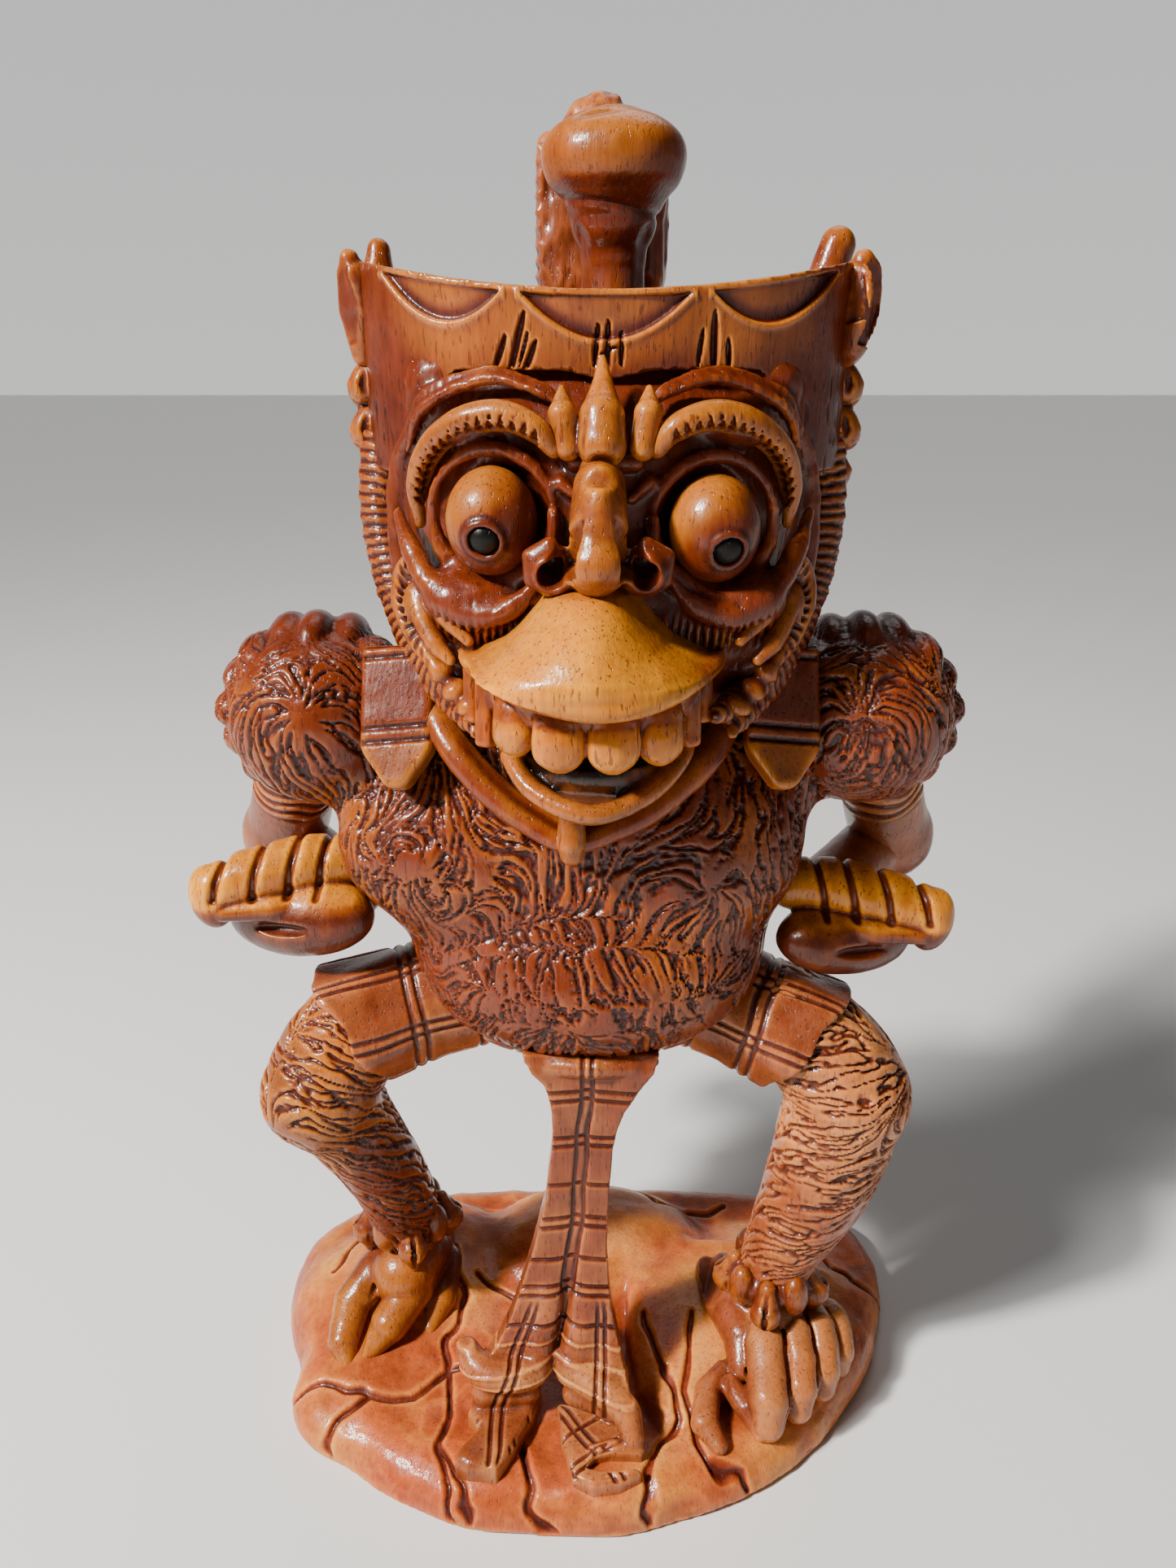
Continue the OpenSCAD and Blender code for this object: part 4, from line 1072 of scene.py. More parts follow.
def make_crown():
    """Front half of a crown wall with three scallops and slashed marks."""
    cx, cy = HX + 0.5, 4.0

    def fn(x, y, z):
        u = x - cx
        bulge = 0.9 * sstep(246, 262, z)
        rx, ry = 45.4 + bulge, 27.6 + bulge
        yy = y - cy
        k0 = np.sqrt((u / rx) ** 2 + (yy / ry) ** 2) + 1e-5
        k1 = np.sqrt((u / rx ** 2) ** 2 + (yy / ry ** 2) ** 2) + 1e-5
        ring = np.abs(k0 * (k0 - 1) / k1) - 2.5
        top = z - (260.9 + 5.2 * (u / 44.0) ** 2)
        low = (247.5 - 1.5 * sstep(10, 0, np.abs(u)) - 19.0 * sstep(27, 38, np.abs(u))) - z
        return np.maximum(np.maximum(ring, top), np.maximum(low, yy - 4.5))
    f = Field((-47, -29, 224), (54, 11, 270), 0.62)
    f.add(Prim(fn, (-46, -28, 226), (53, 9, 269)))
    b = skin("crown_band", f, 1)
    x, z, n = b.v[:, 0] - HX, b.v[:, 2], b.n
    gx, gy = (b.v[:, 0] - cx) / 45.4 ** 2, (b.v[:, 1] - cy) / 27.6 ** 2
    out = sstep(0.2, 0.6, (gx * n[:, 0] + gy * n[:, 1]) / np.sqrt(gx * gx + gy * gy))
    d = np.zeros(len(x), F32)
    rel = np.zeros(len(x), F32)
    top = 260.9 + 5.2 * ((x - 0.5) / 44.0) ** 2
    for c, w, dep in ((-29.5, 11.0, 6.2), (0.2, 15.0, 7.2), (31.0, 12.0, 6.6)):
        q = np.clip(1 - ((x - c) / w) ** 2, 0, 1)
        edge = top - 1.2 - dep * q
        inside = sstep(-0.3, 0.35, z - edge) * (np.abs(x - c) < w) * sstep(top - 0.9, top - 1.5, z)
        ledge = np.exp(-((z - edge + 0.5) / 0.75) ** 2) * (np.abs(x - c) < w + 1)
        d += -1.15 * inside * out * (0.45 + 0.55 * sstep(dep, 0, z - edge)) + 0.35 * ledge * out
        rel += (0.5 * ledge - 0.75 * inside * sstep(3.5, 0.0, z - edge)) * out
    slash = 0
    for a, e, w in (((-19.8, 247.5), (-17.6, 253.5), 0.75), ((-17.0, 246.5), (-14.2, 257.5), 0.95),
                    ((-14.6, 246.5), (-12.2, 252.5), 0.8), ((-15.4, 248), (-13.6, 254), 0.55),
                    ((-1.9, 248), (-1.2, 255.2), 0.7), ((0.4, 247), (0.6, 255.8), 0.75),
                    ((2.9, 248), (2.9, 254), 0.6), ((16.6, 248), (17.4, 254.5), 0.6),
                    ((19.6, 246.5), (19.4, 257.5), 0.95), ((22.4, 247.5), (22.0, 253), 0.7),
                    ((-1, 250), (2.2, 251.5), 0.4)):
        slash = np.maximum(slash, stroke(x, z, a, e, w))
    d -= 1.35 * slash * out
    rel -= 1.5 * slash * out
    nicks = np.tanh(4 * np.maximum(vnoise(b.v, (0.5, 2.5, 5.0), 3.0) - 0.45, 0)) * sstep(252, 243, z)
    d -= 0.22 * nicks + 0.14 * facets(b.v, (7, 7, 14)) - 0.02
    b.push(d)
    b.relief = rel - 0.5 * nicks
    # painted light on upward faces; darker towards the bottom and towards both ends
    b.tone = 0.66 + 0.4 * fbm(b.v, (9, 9, 22), 2) + 0.2 * sstep(0.3, 0.9, n[:, 2]) \
        - 0.8 * sstep(254, 242, z) - 0.6 * sstep(31, 46, np.abs(x))
    b.finish(BROWN, "wood_burnished", "crown_band", 0.9, 5)


def make_horns(s):
    """Blunt prongs at the end of the crown's wall."""
    cx = HX + 0.5
    f = side_field(s, (35, 57), (-13, 22), (244, 278), 0.45, cx)
    f.add(chain(sx(s, [(47.6, -1, 250), (47.8, -2, 258), (48.0, -3.5, 264), (48.6, -4, 267)], cx),
                [2.2, 3.8, 3.4, 2.0]))
    f.add(chain(sx(s, [(46.5, 9, 252), (46, 11.5, 262), (45.6, 12.5, 269.8)], cx), [4.0, 4.2, 2.4]), 1.0)
    f.add(chain(sx(s, [(47, 0, 258), (46, 10, 257)], cx), [3.4, 3.8]), 1.5)
    if s > 0:
        f.add(ell((cx + 48.4, -3.5, 257.5), (4.2, 6.5, 10.0), rot(0, 12, 0)), 1.0)
        f.add(chain([(cx + 43.5, 8.5, 263), (cx + 46, 9, 270.5)], [3.8, 3.6]), 1.0)
    f.cut(box((cx + s * 53.5, -8.5, 263), (3, 5, 12), rot(10, s * 10, s * 35), 0.3), 0.4)
    f.cut(box((cx + s * 43.6, -9.5, 266), (3, 4, 10), rot(-10, -s * 14, -s * 20), 0.3), 0.4)
    f.cut(box((cx + s * 51.5, 17.5, 268), (4, 4, 10), rot(12, s * 8, s * 30), 0.3), 0.4)
    b = skin("crown_horns_" + SIDE[s], f)
    knife(b, 0.22, 4.0, 0.25, 0.35, 6.0)
    # painted light: upward faces of the prongs made lighter
    b.tone = b.tone + 0.3 * sstep(0.2, 0.9, b.n[:, 2])
    b.finish(BROWN, "wood_brown", "crown_band", 1.2, 5)


def make_side_leaf(s):
    """Lobed leaves that step down the side of the crown."""
    cx = HX + 0.5
    f = side_field(s, (36, 58), (-9, 20), (216, 262), 0.5, cx)
    f.add(chain(sx(s, [(44, 7, 254), (44.6, 6, 240), (43, 5, 222)], cx), [4.2, 4.6, 3.8]))
    for k, (dx, z, r) in enumerate(((45.6, 252.5, 3.4), (46.8, 245.0, 4.3), (46.9, 236.6, 4.4),
                                    (45.6, 228.6, 4.2))):
        c = np.array([cx + s * dx, 2.2, z])
        f.add(ell(c + (0, 0.6, 0), (r * 0.95, 6.2, r * 1.25), rot(0, s * -30, s * 14) @ rot(24, 0, 0)), 0.35)
        f.cut(chain([c + (s * r, -4.2, r * 0.9), c + (s * (r + 0.5), 0.6, 0), c
                     + (s * (r - 0.4), 5.4, -r * 0.9)], [0.3, 0.8, 0.3]), 0.3)
        f.add(chain([c + (s * 1.5, -2.4, 2.5), c + (s * 3.0, -2.8, -0.5), c + (s * 1.8, -3.2, -3.4)],
                    [1.1, 1.5, 1.0]), 0.4)
        f.cut(chain([c + (s * 0.4, -4.6, 2.8), c + (s * 1.0, -5.0, -0.5), c + (s * 0.2, -4.9, -3.6)],
                    [0.4, 0.8, 0.5]), 0.3)
        f.cut(cap((c[0] - s * 3, c[1] - 4.6, z - r * 1.15), (c[0] + s * 5, c[1] - 2, z - r * 0.85), 0.5,
                  0.7), 0.3)
    b = skin("side_leaf_" + SIDE[s], f)
    knife(b, 0.2, 4.0, 0.2, 0.3, 6.0)
    # painted light: faces turned to the front made lighter
    b.tone = b.tone + 0.2 * sstep(0.2, 0.9, -b.n[:, 1])
    b.finish(BROWN, "wood_brown", "crown_band", 1.2, 5)


def make_topknot():
    """Rough plank at the back, and a turned knob on a neck in front of it."""
    f = Field((-14, 12, 208), (20, 40, 305), 0.75)
    f.add(box((3.2, 25.5, 248), (12.2, 7.6, 34), rot(-2, 0, 0), 3))
    f.add(box((3.0, 28.8, 278), (13.6, 6.4, 15), rot(-3, 0, 0), 3), 3)
    f.add(ell((2.8, 31, 293), (9.0, 5.2, 8.2)), 4)
    f.cut(box((13.5, 31, 300), (5, 12, 5), rot(0, 38, 0), 1), 1)
    f.add(box((-8.8, 26, 268), (2.0, 6.5, 22), rot(-2, 0, 0), 1.2), 1)
    for k in range(12):
        z = 258 + 3.1 * k
        f.cut(box((-11.8, 25.0, z), (1.5, 9.0, 0.9), rot(0, 24 - 9 * (k % 3), 6), 0.2), 0.2)
    b = skin("topknot_post", f, 1)
    v = b.v
    chips = np.abs(fbm(v, (6, 6, 9), 3, 2.0))
    b.push(-0.9 * chips + 0.25 * vnoise(v, (1.4, 1.4, 3.5)) + 0.15)
    b.relief = -0.9 * chips + 0.3
    b.tone = 0.15 + 0.5 * fbm(v, 10.0, 2) + 0.3 * sstep(290, 298, v[:, 2])
    b.finish(RED, "wood_reddish", "topknot_post", 1.0)

    f = Field((-11, -8, 240), (21, 24, 299), 0.62)
    f.add(ell((5.0, 8.2, 286.2), (14.2, 13.2, 8.2)))
    f.add(ell((5.0, 8.0, 282.4), (12.4, 11.9, 5.6)), 3)
    f.add(chain([(5, 8, 279.0), (5, 8, 275), (5, 8.2, 270.5), (5, 8.4, 266), (4.9, 8.6, 260),
                 (4.7, 9, 254), (4.6, 9.3, 248)], [10.4, 8.6, 6.9, 6.3, 6.7, 7.8, 10.2]), 1.2)
    f.add(ell((5.2, 13.5, 293.0), (6.5, 6.5, 2.6)), 2)
    f.cut(ell((1.0, -6.0, 296.2), (9.0, 9.0, 2.6), rot(-24, -8, 0)), 1.5)
    # long facets shaved down the neck
    for k in range(4):
        a = math.radians(-145 + 110 * (k % 2) + 180 * (k // 2))
        d = np.array([math.cos(a), math.sin(a), 0])
        f.cut(ell(np.array([4.9, 8.4, 264.5]) + d * 9.2, (3.0, 4.6, 9.5), rot(0, 0, math.degrees(a))), 0.5)
    b = skin("topknot_knob", f, 1)
    v, n = b.v, b.n
    d = -0.22 * facets(v, (8, 8, 8), 5.0)
    d -= 0.45 * line(v[:, 2] + 0.15 * v[:, 0], 277.5, 0.7)
    b.push(d)
    # painted light on upward faces, painted shade on downward faces and on faces turned right, away from the
    # lamps; darker on the neck below the bulb
    b.tone = 0.7 + 0.35 * fbm(v, (7, 7, 12), 2) + 0.4 * sstep(0.1, 0.8, n[:, 2]) \
        - 0.6 * sstep(281, 277, v[:, 2]) - 0.6 * sstep(-0.15, -0.7, n[:, 2]) \
        + 0.2 * sstep(272, 266, v[:, 2]) - 0.5 * sstep(0.2, 0.9, n[:, 0])
    b.finish(BROWN, "wood_brown", "topknot_post", 0.9, 6)


# ---------------------------------------------------------------- neck, shoulders, arms
def make_collar():
    """Double rolled collar with a drop at its lowest point."""
    p = smooth_path([(32, -6, 187), (29.5, -18, 182.5), (24, -26, 175), (13.5, -31.5, 166.8),
                     (3, -33.6, 161.8), (-3, -34.2, 160.2), (-9, -33.4, 162.2), (-19, -31, 169),
                     (-27.5, -26, 178), (-31.5, -18, 184.5), (-32.5, -6, 187.5)], 7)
    f = Field((-40, -42, 152), (40, 2, 194), 0.6)
    f.add(chain(p, ramp([1.8, 2.5, 2.7, 2.5, 2.2, 2.2, 2.5, 2.7, 2.5, 1.8], len(p))))
    f.add(chain(p + np.array([0, 2.6, 1.8]), ramp([1.5, 2.2, 2.4, 2.2, 1.8, 2.2, 2.4, 2.2, 1.5], len(p))),
          1.0)
    b = skin("collar", f, 0)
    knife(b, 0.25, 7.0, 0.05, 0.4, 9.0)
    # painted light: upward faces of the rolls made lighter
    b.tone = b.tone + 0.25 * sstep(0.2, 0.8, b.n[:, 2])
    b.finish(BROWN, "wood_burnished", "torso", 1.0, 6)
    f = Field((-10, -43, 150), (4, -26, 176), 0.42)
    f.add(chain([(-3.0, -33.5, 171), (-3.1, -36.2, 166), (-3.2, -36.8, 161.5), (-3.2, -36.2, 158.8)],
                [1.6, 2.6, 2.9, 2.4]))
    f.cut(chain([(-6.6, -37.5, 169), (-5.9, -38.5, 164), (-6.4, -38, 158)], [0.7, 0.8, 0.5]), 0.4)
    f.cut(cap((-6, -39.8, 166.8), (0, -39.8, 166.8), 0.7, 0.7), 0.4)
    b = skin("pendant", f)
    knife(b, 0.12, 3.0, 0.6, 0.3, 6.0)
    b.finish(BROWN, "wood_burnished", "torso", 1.0, 5)


def make_lappet(s):
    """Ribbon end lying over the shoulder, with two pairs of scored lines and a pointed tip."""
    R = rot(-25, 0, s * 10) @ rot(0, s * 4, 0)
    c = np.array([s * 38.2 + 0.5, -19.6, 184.0])
    f = Field((c[0] - 14, -36, 160), (c[0] + 14, -4, 206), 0.5)
    f.add(box(c - R[:, 2] * 2.5, (7.6, 2.9, 14.5), R, 1.6))
    for k in (-1, 1):
        f.cut(box(c + R @ np.array([k * 8.2, 0, -17.5]), (5.5, 6, 9), R @ rot(0, k * 35, 0), 0.5), 1.0)
    b = skin("lappet_" + SIDE[s], f)
    q = (b.v - c) @ R
    fr = sstep(0.2, 0.6, -(b.n @ R)[:, 1])
    z = q[:, 2] + 0.06 * q[:, 0] * s
    g = line(z, -4.6, 0.5) + line(z, -7.4, 0.5) + line(z, 12.2, 0.45) + line(z, 9.6, 0.45)
    b.push(-0.85 * g * fr - 0.22 * facets(b.v, 6.0))
    b.relief = -1.4 * g * fr
    b.tone = 0.15 + 0.55 * sstep(-6.5, -9.5, z) + 0.25 * fbm(b.v, 7.0, 2) + 0.15 * line(z, -6, 1.2)
    b.finish(BROWN, "wood_burnished", "torso", 1.0, 5)


def make_arm(s):
    """Upper arm with a corded band, forearm bent forward, and the hand."""
    nm = SIDE[s]
    f = side_field(s, (44, 88), (-14, 32), (122, 186), 0.8)
    f.add(chain([(s * 62, 0, 172), (s * 67, 7, 158), (s * 72, 16, 144), (s * 73, 18.5, 139)],
                [10.5, 9.2, 9.6, 9.0]), 0)
    f.add(ell((s * 74.5, 17.5, 141), (8.4, 8.6, 8.8)), 4)
    b = skin("upper_arm_" + nm, f, 1)
    v, n = b.v, b.n
    ax = np.array([s * 10.0, 18, -33.0])
    ax /= np.linalg.norm(ax)
    t = (v - np.array([s * 62, 0, 172.0])) @ ax
    w = t + 0.8 * np.sin(0.35 * v[:, 0] + 0.5 * v[:, 1]) + 0.5 * vnoise(v, 5.0)
    band = sstep(6, 9, t) * sstep(21, 18, t)
    g = np.tanh(1.6 * np.sin(w * 2.1)) * band
    b.push(0.3 * g - 0.3 * facets(v, 9.0))
    b.relief = 0.6 * g
    b.tone = 0.4 + 0.35 * fbm(v, 12.0, 2)
    b.finish(RED, "wood_brown", "torso", 0.9)

    f = side_field(s, (40, 84), (-16, 30), (124, 152), 0.8)
    f.add(chain([(s * 72, 19, 139), (s * 64, 9, 138), (s * 53, -4, 136.5)], [8.2, 7.6, 7.0]))
    b = skin("forearm_" + nm, f, 0)
    knife(b, 0.3, 8.0, 0.15, 0.35, 12.0)
    b.finish(RED, "wood_brown", "torso", 0.9)

    # hand: knuckled fingers lying side by side above a smooth palm
    o = np.array([-6.5, 0, -5.5]) if s > 0 else np.zeros(3)

    def P(x, y, z):
        return np.array([s * x, y, z]) + o
    f = Field(P(44 if s > 0 else 92, -27, 120), P(92 if s > 0 else 44, 3, 155), 0.45)
    f.add(chain([P(52, -7.5, 145), P(62, -11.5, 146), P(73, -15.0, 144.5), P(79.5, -17.0, 143)],
                [6.0, 6.4, 6.0, 5.2]))
    f.add(ell(P(80.8, -17.4, 140.8), (4.8, 4.6, 7.2), rot(0, s * 12, s * 16)), 0.5)
    f.add(chain([P(56, -14, 138.6), P(68, -18.5, 138.6), P(78, -20.0, 138.2)], [3.2, 3.0, 2.0]), 0.4)
    f.add(ell(P(63.5, -11.8, 134.0), (16.5, 9.4, 8.4) if s > 0 else (18.0, 9.8, 9.4),
              rot(0, s * 6, s * 20)), 0.6)
    f.cut(ell(P(66, -21.2, 134.4), (7.0, 2.6, 1.5), rot(0, s * 4, s * 18)), 0.8)
    b = skin("hand_" + nm, f, 0)
    v, n = b.v, b.n
    u = (v - o)[:, 0] * s + 0.18 * ((v - o)[:, 2] - 144)
    up = sstep(140.2, 141.6, (v - o)[:, 2])
    g = line(u, 57.6, 0.75) + line(u, 63.8, 0.85) + line(u, 71.0, 0.8) + 1.15 * line(u, 78.8, 0.85)
    b.push(-1.25 * g * up - 0.22 * facets(v, 6.0))
    fing = sstep(137.0, 140.5, (v - o)[:, 2])
    b.relief = -1.3 * g * up - 0.6 * (1 - fing)
    b.tone = -0.7 + 1.4 * fing + 0.3 * fbm(v, 9.0, 2) + 0.3 * sstep(76, 80, u)
    b.finish(GOLD, "wood_burnished", "torso", 1.0, 6)


# ---------------------------------------------------------------- cloth, legs, feet
def make_thigh_cloth(s):
    """Checked cloth round the top of the leg."""
    nm = SIDE[s]
    a, b_ = np.array([s * 20.0, -2, 112.5]), np.array([-54.0, -12.5, 108.0] if s < 0 else [50.0, -12.0,
                                                                                           104.5])
    R = axes(b_ - a, (0, 0, 1))
    cutn = R[:, 0] + np.array([0, 0, -0.5])
    cutn /= np.linalg.norm(cutn)
    ax = R[:, 0]
    f = side_field(s, (10, 72), (-36, 20), (84, 132), 0.75)
    f.add(chain([a, a * 0.5 + b_ * 0.5, b_ + ax * 8 - (0, 0, 3)], [14.5, 13.8, 15.6]))
    f.keep(lambda x, y, z: (x - b_[0]) * cutn[0] + (y - b_[1]) * cutn[1] + (z - b_[2]) * cutn[2]
           + 0.9 * np.sin(0.3 * z + 0.3 * y) - 1.0, 0.8)
    b = skin("thigh_cloth_" + nm, f, 1)
    v = b.v
    q = (v - a) @ R
    ang = np.degrees(np.arctan2(q[:, 1] * s, q[:, 2]))
    t = q[:, 0]
    bend = 0.8 * vnoise(v, 9.0)
    g = line(t + bend, 20.5, 0.55) + line(t + bend, 23.2, 0.55) + line(t + bend, 6.5, 0.5) \
        + line(t + bend, 9.0, 0.5)
    for k in (-150, -88, -28, 32, 92, 152):
        d = (ang - k + 180) % 360 - 180
        arc = np.radians(d) * 16 + bend
        g = g + line(arc, -1.3, 0.5) + line(arc, 1.3, 0.5)
    g = np.minimum(g, 1.2)
    folds = 0.5 * np.sin(np.radians(ang) * 5 + 0.12 * t) * sstep(5, 30, t)
    b.push(-0.6 * g + folds - 0.25 * facets(v, 9.0))
    b.relief = -1.25 * g
    b.tone = 0.35 + 0.45 * fbm(v, 11.0, 2) - 0.3 * sstep(12, 0, t)
    b.finish(RED, "wood_reddish", None, 1.0, 7)


def make_hip():
    """Checked cloth under the belly."""
    f = Field((-40, -30, 92), (40, 28, 126), 0.8)
    f.add(ell((0, -1, 110), (35, 25, 13.5)))
    f.cut(ell((0, 0, 92), (14, 12, 6)), 2)
    b = skin("hip_cloth", f, 1)
    v = b.v
    g = 0
    for x in (-27, -24.5, -16, -13.5, 13.5, 16, 24.5, 27):
        g = g + line(v[:, 0] + 0.25 * (v[:, 2] - 105) * np.sign(x), x, 0.5)
    g = g + line(v[:, 2] + 0.4 * np.abs(v[:, 0]) * 0.3, 107.5, 0.5)
    b.push(-0.55 * g - 0.3 * facets(v, 8.0))
    b.relief = -1.2 * g
    b.tone = 0.3 + 0.4 * fbm(v, 10.0, 2)
    b.finish(RED, "wood_reddish", None, 1.0, 7)


def make_leg(s):
    """Furry bent leg with a whorl on the knee."""
    nm = SIDE[s]
    if s < 0:
        pts = [(-44, -10, 110), (-54, -13, 104), (-60.5, -14.5, 92.5), (-57, -12, 80), (-52.3, -8.5, 68),
               (-49, -4, 56), (-47.5, 1, 44), (-46.5, 6, 31)]
        rad = [11.5, 12.5, 13.2, 10.6, 9.6, 9.2, 8.8, 8.2]
        knee, drift = (-70, -24.5, 87.5, 0.15), (0.7, 0.5, -0.55)
    else:
        pts = [(44, -10, 108), (52, -13, 102), (59, -14.5, 92), (58, -13.5, 76), (54.5, -12, 60),
               (49, -11, 44), (45, -11, 30)]
        rad = [11.5, 12.8, 13.8, 13.4, 12.0, 9.2, 7.8]
        knee, drift = (70.5, -21.5, 84.5, -0.1), (1.0, -0.25, 0.25)
    p = smooth_path(pts, 4)
    f = Field(np.min(p, 0) - 17, np.max(p, 0) + 17, 0.9)
    f.add(chain(p, ramp(rad, len(p))))
    f.add(ell((pts[2][0] + s * 2.5, -17.5, 90), (11.5, 10.0, 10.5)), 4)
    b = skin("leg_" + nm, f, 1)
    v, n = b.v, b.n
    fl = whorl_flow([knee], drift=drift, far=0.0035, wave=0.45, wave_mm=4.0, off=2.0 * s)
    k = streaks(v, n, fl, 1.2, 7.0, 11)
    b.push(0.5 * k + 0.3 * fbm(v, 9.0) - 0.12)
    b.relief = 0.24 * k - (0.2 if s < 0 else 0.05)
    b.tone = (0.15 if s < 0 else 0.2) + 0.35 * fbm(v, 12.0, 2, 3.0) + 0.35 * sstep(62, 92, v[:, 2]) \
        - 0.3 * sstep(60, 45, v[:, 2]) * (s < 0) + 0.1 * k
    b.finish(BROWN if s < 0 else RED, "wood_brown", None, 0.6)


def make_cuff(s):
    """Anklet of leaves that hang over the foot."""
    nm = SIDE[s]
    c = np.array([-47.0, 4.0, 38.0]) if s < 0 else np.array([45.8, -11.5, 32.5])
    r = 8.4 if s < 0 else 8.6
    f = Field(c - 18, c + 18, 0.5)
    f.add(ell(c + (0, 0, 1.5), (r + 1.5, r + 1.5, 5.6)))
    for k in range(8):
        a = math.radians(45 * k - 90 - 14 * s)
        d = np.array([math.cos(a), math.sin(a), 0])
        g = np.array([-d[1], d[0], 0])
        if k % 2:
            f.add(ell(c + d * (r + 0.6) + (0, 0, 1.0 + k % 3), (3.2, 3.4, 5.6),
                      rot(0, 0, math.degrees(a))), 0.4)
        else:
            top, tip = c + d * (r + 0.4) + (0, 0, 4.5), c + d * (r + 2.0) + (0, 0, -7.0)
            f.add(chain([top, (top + tip) / 2 + d, tip], [2.0, 4.0, 1.2]), 0.4)
            f.cut(chain([top + d * 2.4, (top + tip) / 2 + d * 4.6, tip + d * 1.2], [0.4, 0.75, 0.3]), 0.3)
        e_ = a + math.radians(22.5)
        dd = np.array([math.cos(e_), math.sin(e_), 0])
        f.cut(chain([c + dd * (r + 3.4) + (0, 0, 6), c + dd * (r + 2.6) + (0, 0, -6)], [0.6, 1.0]), 0.4)
    b = skin("ankle_cuff_" + nm, f, 0)
    knife(b, 0.25, 4.0, 0.2, 0.35, 6.0)
    # painted light: faces turned to the front made lighter
    b.tone = b.tone + 0.15 * sstep(0.2, 0.9, -b.n[:, 1])
    b.finish(BROWN, "wood_brown", None, 1.1, 5)


def make_feet():
    """Left foot with two long claws, right foot with four slab toes and a curled one."""
    f = Field((-70, -32, 4), (-28, 30, 40), 0.5)
    f.add(chain([(-46, 14, 22), (-47, 5, 26), (-48, -1, 25)], [9.5, 10.0, 8.6]))
    f.add(chain([(-50, 4, 27), (-56, 0.5, 23), (-61.2, -5, 18.5), (-62.4, -13.5, 14), (-59.4, -21, 10)],
                [6.8, 5.6, 5.0, 4.1, 1.4]), 1.0)
    f.add(chain([(-43, 8, 25), (-45.5, -3.5, 22), (-50.6, -11, 17.5), (-56.0, -16, 12)],
                [6.4, 5.6, 5.0, 2.2]), 0.6)
    f.add(chain([(-39, 8, 20), (-38.5, -2, 17), (-41, -8, 13)], [5.0, 4.2, 2.4]), 0.8)
    f.cut(chain([(-51, 1, 32), (-54.6, -5, 24), (-56.8, -12, 18), (-57.6, -18, 13)],
                [0.6, 1.0, 0.9, 0.7]), 0.5)
    b = skin("foot_left", f)
    v = b.v
    b.push(-0.3 * facets(v, 8.0))
    b.tone = 0.1 + 0.75 * sstep(6, -8, v[:, 1]) + 0.3 * fbm(v, 8.0, 2)
    b.finish(BROWN, "wood_reddish", None, 1.0, 2)

    f = Field((20, -50, 2), (74, 12, 38), 0.45)
    f.add(chain([(46, 0, 20), (45, -9, 24), (46, -14, 22)], [10, 10.5, 9.0]))
    # bevelled heel and instep to the left of the toes
    f.add(chain([(34, 3, 21), (36, -8, 22.5), (38.5, -19, 21.5), (38, -25, 18)], [5.5, 6.5, 5.2, 4.0]), 1.0)
    f.cut(box((29.5, -8, 27.5), (4, 18, 5), rot(0, 38, -14), 0.4), 0.4)
    for a, b_, c, r in (((43.0, -18, 22.5), (43.4, -28, 20.0), (42.4, -36.5, 12.5), 5.4),
                        ((50.4, -15.5, 22.5), (51.4, -25.0, 20.0), (50.2, -32.0, 12.5), 4.8),
                        ((56.6, -13, 22.0), (57.8, -20.5, 19.5), (57.2, -26.0, 12.5), 4.4),
                        ((61.4, -10.5, 20.5), (62.8, -15.0, 18.5), (62.6, -19.5, 12.5), 3.8)):
        a, b_, c = np.array(a), np.array(b_), np.array(c)
        f.add(chain([a, (a + b_) / 2 + (0, 0, 1.2), b_, (b_ + c) / 2 + (0, -1.6, 0.6), c],
                    [r * 0.9, r, r, r, r * 0.8]), 0.0)
    for a, b_, c in (((47.0, -14, 27), (48.0, -27, 24.0), (46.4, -39, 13)),
                     ((53.6, -11, 27), (54.9, -23.5, 23), (54, -33.5, 13)),
                     ((59, -9, 26), (60.6, -17.5, 21.5), (60.4, -25, 13))):
        f.cut(chain([a, b_, (b_[0] - 0.4, b_[1] - 7.0, b_[2] - 4.5), c], [0.5, 1.0, 1.0, 0.6]), 0.4)
    # curled big toe and the lobe beside it
    f.add(chain([(33, -24.5, 16), (28.8, -29.5, 14.5), (27.6, -37, 12.8), (30.6, -41.6, 11.0)],
                [2.4, 3.2, 3.4, 2.2]), 0.3)
    f.add(chain([(34.5, -29, 16), (37.5, -34, 14.5), (40.6, -38.8, 11.5)], [2.6, 2.8, 1.8]), 0.2)
    f.cut(chain([(33.4, -27, 18.6), (32.6, -33, 17.2), (34.8, -40, 13)], [0.7, 1.3, 1.2]), 0.4)
    f.cut(chain([(39.2, -23, 21), (39.0, -29, 19.5), (40.0, -35, 15)], [0.6, 1.3, 1.2]), 0.4)
    b = skin("foot_right", f)
    v = b.v
    b.push(-0.25 * facets(v, 6.0))
    b.tone = 0.15 + 0.75 * sstep(37, 41, v[:, 0]) * sstep(-8, -16, v[:, 1] - 0.5 * (v[:, 0] - 42)) \
        + 0.3 * fbm(v, 8.0, 2) + 0.4 * sstep(33, 29, v[:, 0]) * sstep(-24, -30, v[:, 1])
    b.finish(RED, "wood_reddish", None, 1.1, 2)


